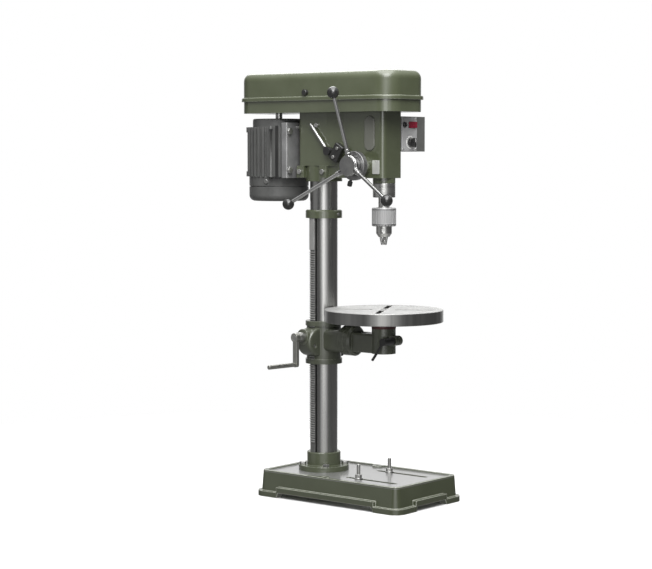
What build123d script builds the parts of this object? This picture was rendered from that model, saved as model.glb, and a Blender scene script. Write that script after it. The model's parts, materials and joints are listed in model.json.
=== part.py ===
from build123d import *
import math
import os

os.makedirs("parts", exist_ok=True)

# Driving dimensions in millimetres, bench plane at zero, front of the machine toward minus Y
COLUMN_D = 75.0
COLUMN_Y = 0.0
THROAT = 205.5
MOTOR_BACK = 160.0
TABLE_D = 316.0
BASE_W = 296.0
BASE_L = 491.0
BASE_REAR = 126.0
RIM_Z = 70.0
PAN_Z = 66.0
TABLE_Z = 514.0
HEAD_BOTTOM = 862.0
HEAD_TOP = 1036.0
COVER_W = 170.0
COVER_FRONT = 288.0
COVER_BACK = 241.0
LID_TOP = 1145.0
PRESSURE = math.radians(20.0)

# Fits
RUN = 0.06
SEAT = 0.03
GAP = 0.3

# Derived positions
COLUMN_R = COLUMN_D / 2
SPINDLE_Y = COLUMN_Y - THROAT
MOTOR_Y = COLUMN_Y + MOTOR_BACK
BASE_Y = COLUMN_Y + BASE_REAR - BASE_L / 2
COVER_L = COVER_FRONT + COVER_BACK
COVER_Y = COLUMN_Y - (COVER_FRONT - COVER_BACK) / 2
LIFT_ANGLE = math.radians(174.5)
LIFT_DIR = (math.cos(LIFT_ANGLE), math.sin(LIFT_ANGLE), 0)
LIFT_SIDE = (math.sin(LIFT_ANGLE), -math.cos(LIFT_ANGLE), 0)
LIFT_PLANE = Plane(origin=(0, COLUMN_Y, 0), x_dir=LIFT_DIR, z_dir=LIFT_SIDE)
UP = (Align.CENTER, Align.CENTER, Align.MIN)
DOWN = (Align.CENTER, Align.CENTER, Align.MAX)
ALONG_X = (0, 90, 0)
ALONG_Y = (90, 0, 0)


def save(builder, name):
    """Label a finished piece and write it."""
    builder.part.label = name
    export_step(builder.part, f"parts/{name}.step")


def lift_section(rho):
    """Plane square to the lift direction, across first and up second."""
    origin = (rho * LIFT_DIR[0], COLUMN_Y + rho * LIFT_DIR[1], 0)
    across = (-LIFT_SIDE[0], -LIFT_SIDE[1], 0)
    return Plane(origin=origin, x_dir=across, z_dir=LIFT_DIR)


def front_section(forward):
    """Plane facing the front, at a distance forward of the column axis."""
    return Plane(origin=(0, COLUMN_Y - forward, 0), x_dir=(1, 0, 0), z_dir=(0, -1, 0))


def involute(angle):
    """Involute function of a pressure angle."""
    return math.tan(angle) - angle


def gear_outline(module, teeth, play, phase):
    """Corner points of a spur gear, a tooth gap centred on the phase angle."""
    pitch_r = module * teeth / 2
    base_r = pitch_r * math.cos(PRESSURE)
    tip_r = pitch_r + 0.9 * module
    root_r = pitch_r - 1.1 * module
    half = math.pi / (2 * teeth) - play / (2 * pitch_r) + involute(PRESSURE)
    radii = [base_r + (tip_r - base_r) * step / 3 for step in range(4)]
    spread = [half - involute(math.acos(base_r / radius)) for radius in radii]
    points = []
    for tooth in range(teeth):
        middle = phase + (tooth + 0.5) * 2 * math.pi / teeth
        flank = [(root_r, half)] + list(zip(radii, spread))
        for radius, angle in flank:
            points.append((radius * math.cos(middle - angle), radius * math.sin(middle - angle)))
        for radius, angle in reversed(flank):
            points.append((radius * math.cos(middle + angle), radius * math.sin(middle + angle)))
    return points


def rack_outline(module, back, face, low, high, first, count, play):
    """Closed outline of a rack standing up, teeth toward plus across."""
    pitch = math.pi * module
    tip = face
    root = face - 1.85 * module
    line = face - 0.75 * module
    points = [(back, low), (root, low)]
    for tooth in range(count):
        middle = first + tooth * pitch
        half = pitch / 4 - play / 2
        wide = half + (line - root) * math.tan(PRESSURE)
        thin = half - (tip - line) * math.tan(PRESSURE)
        points += [(root, middle - wide), (tip, middle - thin)]
        points += [(tip, middle + thin), (root, middle + wide)]
    points += [(root, high), (back, high)]
    return points


# Base casting with stepped foot band, machined floor and two long slots
BAND_OUT = 9.0
BAND_T = 15.0
ARCH_H = 14.0
FOOT_L = 80.0
FOOT_STEP = 12.0
BASE_CORNER = 22.0
BASE_WALL = 11.0
RIM_W = 15.0
FLOOR_T = 15.0
SLOT_X = 67.5
SLOT_W = 15.0
SLOT_L = 168.0
SLOT_Y = COLUMN_Y - 217.0
BENCH_X = 117.0
BENCH_Y = COLUMN_Y - 96.0
BENCH_HOLE_R = 6.0
BENCH_BOSS_R = 15.0
WALL_DRAFT = 4.5
SIDE_LONG = BASE_L / 2 - FOOT_L
SIDE_SHORT = BASE_W / 2 - FOOT_L
FLANGE_R = 68.5
FLANGE_BOLT_R = 57.5
FLANGE_SCREW_R = 5.0
with BuildPart() as base:
    with BuildSketch(Plane.XY):
        with Locations((0, BASE_Y)):
            RectangleRounded(BASE_W, BASE_L, BASE_CORNER + BAND_OUT)
    extrude(amount=ARCH_H + BAND_T)
    with BuildSketch(Plane.XY.offset(BAND_T)):
        with Locations((0, BASE_Y)):
            RectangleRounded(BASE_W, BASE_L, BASE_CORNER + BAND_OUT)
        with Locations((0, BASE_Y)):
            Rectangle(2 * SIDE_SHORT, BASE_L, mode=Mode.SUBTRACT)
        with Locations((0, BASE_Y)):
            Rectangle(BASE_W, 2 * SIDE_LONG, mode=Mode.SUBTRACT)
    extrude(amount=ARCH_H, mode=Mode.SUBTRACT)
    with BuildSketch(Plane.XY):
        with Locations((0, BASE_Y)):
            RectangleRounded(BASE_W - 2 * BAND_OUT, BASE_L - 2 * BAND_OUT, BASE_CORNER)
    extrude(amount=RIM_Z, taper=WALL_DRAFT)
    with BuildSketch(Plane.YZ.offset(-BASE_W)):
        with BuildLine():
            Polyline(
                (BASE_Y - SIDE_LONG, 0),
                (BASE_Y - SIDE_LONG + FOOT_STEP / 2, ARCH_H),
                (BASE_Y + SIDE_LONG - FOOT_STEP / 2, ARCH_H),
                (BASE_Y + SIDE_LONG, 0),
                close=True,
            )
        make_face()
    extrude(amount=2 * BASE_W, mode=Mode.SUBTRACT)
    with BuildSketch(Plane.XZ.offset(-BASE_L)):
        with BuildLine():
            Polyline(
                (-SIDE_SHORT, 0),
                (-SIDE_SHORT + FOOT_STEP / 2, ARCH_H),
                (SIDE_SHORT - FOOT_STEP / 2, ARCH_H),
                (SIDE_SHORT, 0),
                close=True,
            )
        make_face()
    extrude(amount=2 * BASE_L, mode=Mode.SUBTRACT)
    with BuildSketch(Plane.XY):
        with Locations((0, BASE_Y)):
            RectangleRounded(
                BASE_W - 2 * BAND_OUT - 2 * BASE_WALL, BASE_L - 2 * BAND_OUT - 2 * BASE_WALL, BASE_CORNER
            )
    extrude(amount=PAN_Z - FLOOR_T, taper=WALL_DRAFT, mode=Mode.SUBTRACT)
    with BuildSketch(Plane.XY.offset(ARCH_H)):
        with Locations((0, BASE_Y)):
            Rectangle(BASE_WALL, BASE_L - 3 * BASE_WALL - 2 * BAND_OUT)
        for step in (-1.65, 0.05, 0.95):
            with Locations((0, BASE_Y + step * BASE_L / 4)):
                Rectangle(BASE_W - 3 * BASE_WALL - 2 * BAND_OUT, BASE_WALL)
    extrude(amount=PAN_Z - ARCH_H - FLOOR_T / 2)
    with Locations((0, COLUMN_Y, 0)):
        Cylinder(FLANGE_R, PAN_Z - FLOOR_T / 2, align=UP)
    with Locations((BENCH_X, BENCH_Y, ARCH_H), (-BENCH_X, BENCH_Y, ARCH_H)):
        Cylinder(BENCH_BOSS_R, RIM_Z - ARCH_H, align=UP)
    with BuildSketch(Plane.XY.offset(PAN_Z)):
        with Locations((0, BASE_Y)):
            RectangleRounded(
                BASE_W - 2 * BAND_OUT - 2 * RIM_W, BASE_L - 2 * BAND_OUT - 2 * RIM_W, BASE_CORNER - RIM_W / 2
            )
        with Locations((BENCH_X, BENCH_Y), (-BENCH_X, BENCH_Y)):
            Circle(BENCH_BOSS_R, mode=Mode.SUBTRACT)
    extrude(amount=RIM_Z, mode=Mode.SUBTRACT)
    with BuildSketch(Plane.XY):
        with Locations((SLOT_X, SLOT_Y), (-SLOT_X, SLOT_Y)):
            SlotOverall(SLOT_L, SLOT_W, rotation=90)
        with Locations((BENCH_X, BENCH_Y), (-BENCH_X, BENCH_Y)):
            Circle(BENCH_HOLE_R)
    extrude(amount=RIM_Z, mode=Mode.SUBTRACT)
    with Locations((0, COLUMN_Y, 0)):
        with PolarLocations(FLANGE_BOLT_R, 4, start_angle=45):
            Cylinder(FLANGE_SCREW_R + SEAT, 2 * PAN_Z, mode=Mode.SUBTRACT)
save(base, "base")

# Column socket flange with its bolts
FLANGE_T = 14.0
SOCKET_R = 46.0
SOCKET_TOP = 116.0
HEX_R = 9.5
HEX_H = 7.0
with BuildPart() as column_flange:
    with Locations((0, COLUMN_Y, PAN_Z)):
        Cylinder(FLANGE_R, FLANGE_T, align=UP)
        Cylinder(SOCKET_R, SOCKET_TOP - PAN_Z, align=UP)
    chamfer(column_flange.edges().group_by(Axis.Z)[-1], 1.5)
    fillet(column_flange.edges().filter_by_position(Axis.Z, PAN_Z + 1, SOCKET_TOP - 9), 1.5)
    with Locations((0, COLUMN_Y, PAN_Z)):
        Cylinder(COLUMN_R + SEAT, SOCKET_TOP, align=UP, mode=Mode.SUBTRACT)
        with PolarLocations(FLANGE_BOLT_R, 4, start_angle=45):
            Cylinder(FLANGE_SCREW_R + SEAT, SOCKET_TOP, mode=Mode.SUBTRACT)
save(column_flange, "column_flange")

with BuildPart() as flange_bolts:
    with Locations((0, COLUMN_Y, PAN_Z + FLANGE_T)):
        with PolarLocations(FLANGE_BOLT_R, 4, start_angle=45):
            Cylinder(FLANGE_SCREW_R, FLANGE_T + PAN_Z / 2, align=DOWN)
    with BuildSketch(Plane.XY.offset(PAN_Z + FLANGE_T)):
        with Locations((0, COLUMN_Y)):
            with PolarLocations(FLANGE_BOLT_R, 4, start_angle=45):
                RegularPolygon(HEX_R, 6)
    extrude(amount=HEX_H)
save(flange_bolts, "flange_bolts")

# Clamp studs with nuts, one in each base slot
STUD_Y = COLUMN_Y - 174.0
STUD_R = 4.5
STUD_TOP = PAN_Z + 39.0
NUT_R = 9.0
NUT_H = 9.0
WASHER_R = 11.0
WASHER_T = 2.5
TEE_W = 24.0
TEE_H = 8.0
for side, name in ((-1, "clamp_stud_near"), (1, "clamp_stud_far")):
    with BuildPart() as clamp_stud:
        with Locations((side * SLOT_X, STUD_Y, PAN_Z - FLOOR_T - GAP)):
            Box(TEE_W, TEE_W, TEE_H, align=DOWN)
            Cylinder(STUD_R, STUD_TOP - PAN_Z + FLOOR_T + GAP, align=UP)
        with Locations((side * SLOT_X, STUD_Y, PAN_Z + GAP / 3)):
            Cylinder(WASHER_R, WASHER_T, align=UP)
        with BuildSketch(Plane.XY.offset(PAN_Z + GAP / 3 + WASHER_T)):
            with Locations((side * SLOT_X, STUD_Y)):
                RegularPolygon(NUT_R, 6)
        extrude(amount=NUT_H)
        stud_end = clamp_stud.edges().filter_by(GeomType.CIRCLE).group_by(Axis.Z)[-1]
        chamfer(stud_end, 1)
    save(clamp_stud, name)

# Column tube
COLUMN_TOP = 966.0
COLUMN_WALL = 7.0
with BuildPart() as column:
    with Locations((0, COLUMN_Y, PAN_Z)):
        Cylinder(COLUMN_R, COLUMN_TOP - PAN_Z, align=UP)
        Cylinder(COLUMN_R - COLUMN_WALL, COLUMN_TOP - PAN_Z, align=UP, mode=Mode.SUBTRACT)
save(column, "column")

# Toothed lift rack standing against the column
LIFT_MODULE = 2.0
LIFT_TEETH = 14
RACK_BACK = COLUMN_R + GAP
RACK_FACE = RACK_BACK + 9.0
RACK_W = 18.0
RACK_LOW = SOCKET_TOP + GAP
RACK_HIGH = 753.0 - GAP
RACK_PLAY = 0.3
LIFT_PITCH = math.pi * LIFT_MODULE
LIFT_PITCH_R = LIFT_MODULE * LIFT_TEETH / 2
GEAR_RHO = RACK_FACE - 0.75 * LIFT_MODULE + LIFT_PITCH_R
WORM_Z = 434.0
WORM_R = 8.5
GEAR_Z = WORM_Z - WORM_R - LIFT_PITCH_R - 0.9 * LIFT_MODULE - GAP
TEETH_BELOW = 42
TEETH_ABOVE = 40
with BuildPart() as lift_rack:
    with BuildSketch(LIFT_PLANE):
        with BuildLine():
            Polyline(
                rack_outline(
                    LIFT_MODULE, RACK_BACK, RACK_FACE, RACK_LOW, RACK_HIGH,
                    GEAR_Z - TEETH_BELOW * LIFT_PITCH, TEETH_BELOW + TEETH_ABOVE + 1, RACK_PLAY,
                ),
                close=True,
            )
        make_face()
    extrude(amount=RACK_W / 2, both=True)
    with BuildSketch(LIFT_PLANE):
        with BuildLine():
            Polyline(
                (RACK_BACK, GEAR_Z + (TEETH_ABOVE + 1) * LIFT_PITCH),
                (RACK_FACE, GEAR_Z + (TEETH_ABOVE + 1) * LIFT_PITCH),
                (RACK_FACE, RACK_HIGH),
                (RACK_BACK, RACK_HIGH),
                close=True,
            )
        make_face()
    extrude(amount=RACK_W / 2, both=True)
save(lift_rack, "lift_rack")

# Rack collar with set screw
COLLAR_R = 49.7
COLLAR_LOW = 753.0
COLLAR_TOP = 775.0
SET_R = 4.0
with BuildPart() as rack_collar:
    with Locations((0, COLUMN_Y, COLLAR_LOW)):
        Cylinder(COLLAR_R, COLLAR_TOP - COLLAR_LOW, align=UP)
    chamfer(rack_collar.edges().group_by(Axis.Z)[-1], 3)
    with Locations((0, COLUMN_Y, COLLAR_LOW)):
        Cylinder(COLUMN_R + SEAT, COLLAR_TOP - COLLAR_LOW, align=UP, mode=Mode.SUBTRACT)
    with Locations((0, COLUMN_Y - COLUMN_R - 1, (COLLAR_LOW + COLLAR_TOP) / 2)):
        Cylinder(SET_R + SEAT, 2 * COLLAR_R, rotation=ALONG_Y, align=UP, mode=Mode.SUBTRACT)
save(rack_collar, "rack_collar")

# Table bracket with worm box, lock ears and tilt face
BRACKET_LOW = 358.0
BRACKET_TOP = 474.0
SLEEVE_R = 50.0
BODY_R = 47.0
RING_H = 13.0
TILT_Z = 425.0
TILT_FACE = 96.0
TILT_R = 41.0
TILT_T = 16.0
NECK_W = 74.0
NECK_LOW = 393.0
NECK_TOP = 454.0
LOBE_R = 38.0
LOBE_RHO = 42.0
LOBE_Z = 418.0
LOBE_W = 50.0
LOBE_ROUND = 7.0
BOSS_R = 21.0
BOSS_RHO = 82.0
WORM_BORE = 7.0
EAR_OUT = 74.0
EAR_T = 13.0
EAR_H = 34.0
SLIT_W = 3.0
LOCK_R = 6.0
TILT_BOLT_R = 9.0
GEAR_W = 18.0
PIN_R = 5.0
with BuildPart() as table_bracket:
    with Locations((0, COLUMN_Y, BRACKET_LOW)):
        Cylinder(BODY_R, BRACKET_TOP - BRACKET_LOW, align=UP)
        Cylinder(SLEEVE_R, RING_H, align=UP)
    with Locations((0, COLUMN_Y, BRACKET_TOP)):
        Cylinder(SLEEVE_R, RING_H, align=DOWN)
    with BuildSketch(front_section(0)):
        with Locations((0, (NECK_LOW + NECK_TOP) / 2)):
            RectangleRounded(NECK_W, NECK_TOP - NECK_LOW, 13)
    extrude(amount=TILT_FACE - 2)
    with BuildSketch(front_section(TILT_FACE - TILT_T)):
        with Locations((0, TILT_Z)):
            Circle(TILT_R)
    extrude(amount=TILT_T)
    with BuildSketch(LIFT_PLANE):
        with Locations((LOBE_RHO, LOBE_Z)):
            Circle(LOBE_R)
    extrude(amount=LOBE_W / 2, both=True)
    rounds = table_bracket.edges().filter_by(GeomType.CIRCLE)
    fillet(rounds.filter_by(lambda edge: abs(edge.radius - LOBE_R) < 1), LOBE_ROUND)
    with BuildSketch(lift_section(LOBE_RHO)):
        with Locations((0, WORM_Z)):
            Circle(BOSS_R)
    extrude(amount=BOSS_RHO - LOBE_RHO)
    with Locations((EAR_OUT / 2, COLUMN_Y + EAR_T / 2 + SLIT_W / 2, TILT_Z)):
        Box(EAR_OUT, EAR_T, EAR_H)
    with Locations((EAR_OUT / 2, COLUMN_Y - EAR_T / 2 - SLIT_W / 2, TILT_Z)):
        Box(EAR_OUT, EAR_T, EAR_H)
    with Locations((EAR_OUT, COLUMN_Y, TILT_Z)):
        Cylinder(EAR_H / 2, 2 * EAR_T + SLIT_W, rotation=ALONG_Y)
    with Locations((0, COLUMN_Y, BRACKET_LOW)):
        Cylinder(COLUMN_R + RUN, BRACKET_TOP, align=UP, mode=Mode.SUBTRACT)
    with Locations((COLUMN_R + EAR_OUT / 2, COLUMN_Y, TILT_Z)):
        Box(2 * EAR_OUT - COLUMN_R, SLIT_W, BRACKET_TOP, mode=Mode.SUBTRACT)
    with BuildSketch(LIFT_PLANE):
        with Locations((RACK_FACE / 2 + GAP, (BRACKET_LOW + BRACKET_TOP) / 2)):
            Rectangle(RACK_FACE + GAP, BRACKET_TOP)
    extrude(amount=RACK_W / 2 + GAP, both=True, mode=Mode.SUBTRACT)
    with BuildSketch(LIFT_PLANE):
        with Locations((GEAR_RHO, GEAR_Z)):
            Circle(LIFT_PITCH_R + LIFT_MODULE + GAP)
    extrude(amount=GEAR_W / 2 + GAP, both=True, mode=Mode.SUBTRACT)
    with BuildSketch(LIFT_PLANE):
        with Locations((GEAR_RHO, GEAR_Z)):
            Circle(PIN_R + SEAT)
    extrude(amount=LOBE_W, both=True, mode=Mode.SUBTRACT)
    with BuildSketch(lift_section(RACK_FACE)):
        with Locations((0, WORM_Z)):
            Circle(WORM_BORE + RUN)
    extrude(amount=EAR_OUT, mode=Mode.SUBTRACT)
    with BuildSketch(lift_section(RACK_FACE)):
        with Locations((0, WORM_Z)):
            Circle(WORM_R + GAP)
    extrude(amount=BOSS_RHO - RACK_FACE - RING_H, mode=Mode.SUBTRACT)
    with Locations((EAR_OUT, COLUMN_Y, TILT_Z)):
        Cylinder(LOCK_R + RUN, 4 * EAR_T, rotation=ALONG_Y, mode=Mode.SUBTRACT)
    with BuildSketch(front_section(COLUMN_R + COLUMN_WALL)):
        with Locations((0, TILT_Z)):
            Circle(TILT_BOLT_R + SEAT)
    extrude(amount=TILT_FACE, mode=Mode.SUBTRACT)
save(table_bracket, "table_bracket")

# Lift gear on its pin, and the worm shaft
with BuildPart() as lift_gear:
    with BuildSketch(LIFT_PLANE):
        with Locations((GEAR_RHO, GEAR_Z)):
            with BuildLine(mode=Mode.PRIVATE) as lift_gear_line:
                Polyline(gear_outline(LIFT_MODULE, LIFT_TEETH, RACK_PLAY, math.pi), close=True)
            add(make_face(lift_gear_line.edges(), mode=Mode.PRIVATE))
            Circle(PIN_R + RUN, mode=Mode.SUBTRACT)
    extrude(amount=GEAR_W / 2, both=True)
save(lift_gear, "lift_gear")

with BuildPart() as gear_pin:
    with BuildSketch(LIFT_PLANE):
        with Locations((GEAR_RHO, GEAR_Z)):
            Circle(PIN_R)
    extrude(amount=LOBE_W / 2 - 2, both=True)
save(gear_pin, "gear_pin")

CRANK_RHO = 100.0
CRANK_T = 14.0
with BuildPart() as worm_shaft:
    with BuildSketch(lift_section(RACK_FACE + 4)):
        with Locations((0, WORM_Z)):
            Circle(WORM_BORE)
    extrude(amount=CRANK_RHO + CRANK_T - RACK_FACE - 4)
    with BuildSketch(lift_section(RACK_FACE + 4)):
        with Locations((0, WORM_Z)):
            Circle(WORM_R)
    extrude(amount=BOSS_RHO - RACK_FACE - RING_H - 5)
    with BuildSketch(lift_section(BOSS_RHO + GAP)):
        with Locations((0, WORM_Z)):
            Circle(WORM_BORE + 6)
    extrude(amount=CRANK_RHO - BOSS_RHO - 2 * GAP)
save(worm_shaft, "worm_shaft")

# Crank arm and turning grip
CRANK_L = 73.0
CRANK_HUB_R = 12.0
CRANK_W = 15.0
GRIP_R = 6.0
GRIP_PIN_R = 3.5
GRIP_L = 94.0
with BuildPart() as crank_arm:
    with BuildSketch(lift_section(CRANK_RHO)):
        with Locations((0, WORM_Z)):
            Circle(CRANK_HUB_R)
        with Locations((0, WORM_Z)):
            Circle(WORM_BORE + SEAT, mode=Mode.SUBTRACT)
    extrude(amount=CRANK_T)
    with BuildSketch(lift_section(CRANK_RHO + 2)):
        with Locations((0, WORM_Z - CRANK_L / 2)):
            SlotCenterToCenter(CRANK_L, CRANK_W, rotation=90)
        with Locations((0, WORM_Z)):
            Circle(CRANK_HUB_R - 1, mode=Mode.SUBTRACT)
    extrude(amount=CRANK_T - 5)
    with BuildSketch(lift_section(CRANK_RHO + CRANK_T - 4)):
        with Locations((0, WORM_Z - CRANK_L)):
            Circle(GRIP_PIN_R)
    extrude(amount=GRIP_L)
save(crank_arm, "crank_arm")

with BuildPart() as crank_grip:
    with BuildSketch(lift_section(CRANK_RHO + CRANK_T - 3 + GAP)):
        with Locations((0, WORM_Z - CRANK_L)):
            Circle(GRIP_R)
    extrude(amount=GRIP_L + 3)
    fillet(crank_grip.edges(), 2)
    with BuildSketch(lift_section(CRANK_RHO)):
        with Locations((0, WORM_Z - CRANK_L)):
            Circle(GRIP_PIN_R + RUN)
    extrude(amount=CRANK_T - 4 + GRIP_L + GAP, mode=Mode.SUBTRACT)
save(crank_grip, "crank_grip")

# Bracket lock handle on the far side
LOCK_L = 66.0
LOCK_ROD_R = 4.5
LOCK_HEAD = 16.0
LOCK_LEAN = 30.0
with BuildPart() as bracket_lock:
    with Locations((EAR_OUT, COLUMN_Y, TILT_Z)):
        Cylinder(LOCK_R, 2 * EAR_T + SLIT_W + 6, rotation=ALONG_Y)
    with Locations((EAR_OUT, COLUMN_Y + EAR_T + SLIT_W / 2 + GAP, TILT_Z)):
        Cylinder(LOCK_R + 5, LOCK_HEAD, rotation=(-90, 0, 0), align=UP)
    with Locations((EAR_OUT, COLUMN_Y + EAR_T + SLIT_W / 2 + GAP + LOCK_HEAD / 2, TILT_Z)):
        Cylinder(LOCK_ROD_R, LOCK_L, rotation=(0, 180 - LOCK_LEAN, 0), align=UP)
save(bracket_lock, "bracket_lock")

# Tilting table arm with pinch ears at the front
ARM_LOW = 397.0
ARM_TOP = 449.0
ARM_W = 52.0
ARM_BOSS_R = 32.0
ARM_BOSS_TOP = 476.0
STUB_R = 22.0
PINCH_OUT = 40.0
PINCH_R = 13.0
PINCH_W = 28.0
PINCH_Z = TILT_Z + 8.0
WINDOW_W = 34.0
WINDOW_L = 34.0
with BuildPart() as table_arm:
    with BuildSketch(front_section(TILT_FACE + GAP)):
        with Locations((0, TILT_Z)):
            Circle(TILT_R)
    extrude(amount=TILT_T + 4)
    chamfer(table_arm.edges().group_by(Axis.Y)[0], 5)
    with BuildSketch(front_section(TILT_FACE + TILT_T)):
        with Locations((0, (ARM_LOW + ARM_TOP) / 2)):
            RectangleRounded(ARM_W, ARM_TOP - ARM_LOW, 7)
    extrude(amount=THROAT - TILT_FACE - TILT_T)
    with Locations((0, SPINDLE_Y, ARM_LOW)):
        Cylinder(ARM_BOSS_R, ARM_BOSS_TOP - ARM_LOW, align=UP)
    with Locations((0, SPINDLE_Y - PINCH_OUT / 2, PINCH_Z)):
        Box(PINCH_W, PINCH_OUT, 2 * PINCH_R)
    with Locations((0, SPINDLE_Y - PINCH_OUT, PINCH_Z)):
        Cylinder(PINCH_R, PINCH_W, rotation=ALONG_X)
    with Locations((0, SPINDLE_Y, ARM_LOW)):
        Cylinder(STUB_R + RUN, ARM_BOSS_TOP, align=UP, mode=Mode.SUBTRACT)
    with Locations((0, SPINDLE_Y - PINCH_OUT, (ARM_LOW + ARM_BOSS_TOP) / 2)):
        Box(SLIT_W, 2 * PINCH_OUT, ARM_BOSS_TOP, mode=Mode.SUBTRACT)
    with Locations((0, SPINDLE_Y - PINCH_OUT, PINCH_Z)):
        Cylinder(LOCK_R + RUN, 2 * PINCH_W, rotation=ALONG_X, mode=Mode.SUBTRACT)
    with Locations((0, COLUMN_Y - TILT_FACE - TILT_T - 4 - WINDOW_L / 2, TILT_Z)):
        Box(WINDOW_W, WINDOW_L, 2 * TILT_R, mode=Mode.SUBTRACT)
    with BuildSketch(front_section(TILT_FACE - 1)):
        with Locations((0, TILT_Z)):
            Circle(TILT_BOLT_R + RUN)
    extrude(amount=WINDOW_L, mode=Mode.SUBTRACT)
save(table_arm, "table_arm")

with BuildPart() as tilt_bolt:
    with BuildSketch(front_section(COLUMN_R + COLUMN_WALL + 1)):
        with Locations((0, TILT_Z)):
            Circle(TILT_BOLT_R)
    extrude(amount=TILT_FACE + TILT_T - COLUMN_R)
    with BuildSketch(front_section(TILT_FACE + TILT_T + 4 + 2 * GAP)):
        with Locations((0, TILT_Z)):
            RegularPolygon(15, 6)
    extrude(amount=11)
save(tilt_bolt, "tilt_bolt")

# Table clamp handle
HANDLE_X = -52.0
HANDLE_R = 10.0
HANDLE_ROD_R = 3.5
HANDLE_L = 63.0
HANDLE_LEAN = 37.0
with BuildPart() as clamp_handle:
    with Locations((0, SPINDLE_Y - PINCH_OUT, PINCH_Z)):
        Cylinder(LOCK_R, PINCH_W + 2 * GAP, rotation=ALONG_X)
    with Locations((-PINCH_W / 2 - GAP, SPINDLE_Y - PINCH_OUT, PINCH_Z)):
        Cylinder(HANDLE_R, PINCH_OUT + 4, rotation=(0, -90, 0), align=UP)
    with Locations((HANDLE_X, SPINDLE_Y - PINCH_OUT, PINCH_Z)):
        Cylinder(HANDLE_ROD_R, HANDLE_L, rotation=(180 + HANDLE_LEAN, 0, 0), align=UP)
save(clamp_handle, "clamp_handle")

# Round table with radial slots and ribbed underside
TABLE_R = TABLE_D / 2
TABLE_T = 32.0
PLATE_T = 14.0
TABLE_RIM = 10.0
HUB_R = 33.0
SLOT_IN = 28.0
SLOT_OUT = 134.0
TABLE_SLOT_W = 14.0
TABLE_TURN = 30.0
STUB_LOW = ARM_LOW + 6
CENTRE_R = 9.0
RIB_T = 9.0
with BuildPart() as table:
    with Locations((0, SPINDLE_Y, TABLE_Z)):
        Cylinder(TABLE_R, TABLE_T, align=DOWN)
    chamfer(table.edges(), 1)
    with BuildSketch(Plane.XY.offset(TABLE_Z - TABLE_T)):
        with Locations((0, SPINDLE_Y)):
            Circle(TABLE_R - TABLE_RIM)
            Circle(HUB_R, mode=Mode.SUBTRACT)
            with PolarLocations(TABLE_R / 2, 4, start_angle=TABLE_TURN + 45):
                Rectangle(TABLE_R, RIB_T, mode=Mode.SUBTRACT)
    extrude(amount=TABLE_T - PLATE_T, mode=Mode.SUBTRACT)
    with Locations((0, SPINDLE_Y, TABLE_Z - TABLE_T)):
        Cylinder(HUB_R, TABLE_Z - TABLE_T - ARM_BOSS_TOP - GAP, align=DOWN)
        Cylinder(STUB_R, TABLE_Z - TABLE_T - STUB_LOW, align=DOWN)
    with BuildSketch(Plane.XY.offset(TABLE_Z)):
        with Locations((0, SPINDLE_Y)):
            with PolarLocations((SLOT_IN + SLOT_OUT) / 2, 4, start_angle=TABLE_TURN):
                SlotOverall(SLOT_OUT - SLOT_IN, TABLE_SLOT_W)
            Circle(CENTRE_R)
    extrude(amount=-TABLE_T, mode=Mode.SUBTRACT)
    with Locations((0, SPINDLE_Y, TABLE_Z)):
        Cylinder(CENTRE_R, 2 * TABLE_Z, mode=Mode.SUBTRACT)
save(table, "table")

# Head casting around column and quill
BOX_X = 50.0
BOX_REAR = 50.0
WEB_X = 42.0
HEAD_FRONT = 236.0
SLEEVE_LOW = 852.0
BOX_LOW = 894.0
QUILL_BOSS_R = 30.0
QUILL_BOSS_LOW = 849.0
QUILL_R = 24.0
QUILL_BORE_TOP = 996.0
BEARING_R = 26.0
BEARING_LOW = 1002.0
PINION_F = 170.0
PINION_Z = 895.0
PINION_MODULE = 2.0
PINION_TEETH = 13
PINION_PITCH_R = PINION_MODULE * PINION_TEETH / 2
PINION_BORE = PINION_PITCH_R + PINION_MODULE + GAP
FEED_BOSS_R = 25.0
FEED_SHAFT_R = 8.0
FEED_BOSS_X = 66.0
ROD_X = 29.0
ROD_Z = 998.0
ROD_R = 7.5
ROD_BOSS_R = 13.0
PAD_F = 41.0
PAD_REAR = 3.0 - PAD_F
PAD_Z = 878.0
PAD_W = 24.0
PAD_H = 32.0
PAD_X = 55.0
OVAL_F = 190.0
OVAL_Z = 980.0
OVAL_W = 35.0
OVAL_H = 93.0
OVAL_DEEP = 3.0
CORE_Z = 912.0
TENSION_F = 62.0
TENSION_Z = 933.0
TENSION_R = 8.0
LOCK_SCREW_F = 17.0
LOCK_SCREW_Z = ROD_Z + 5.0
SPRING_R = 34.0
BLOCK_F = 91.0
BLOCK_Z = 929.0
BLOCK_L = 48.0
BLOCK_W = 30.0
BLOCK_ROUND = 4.0
BLOCK_LEAN = 57.6
BLOCK_X = 48.0
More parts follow.
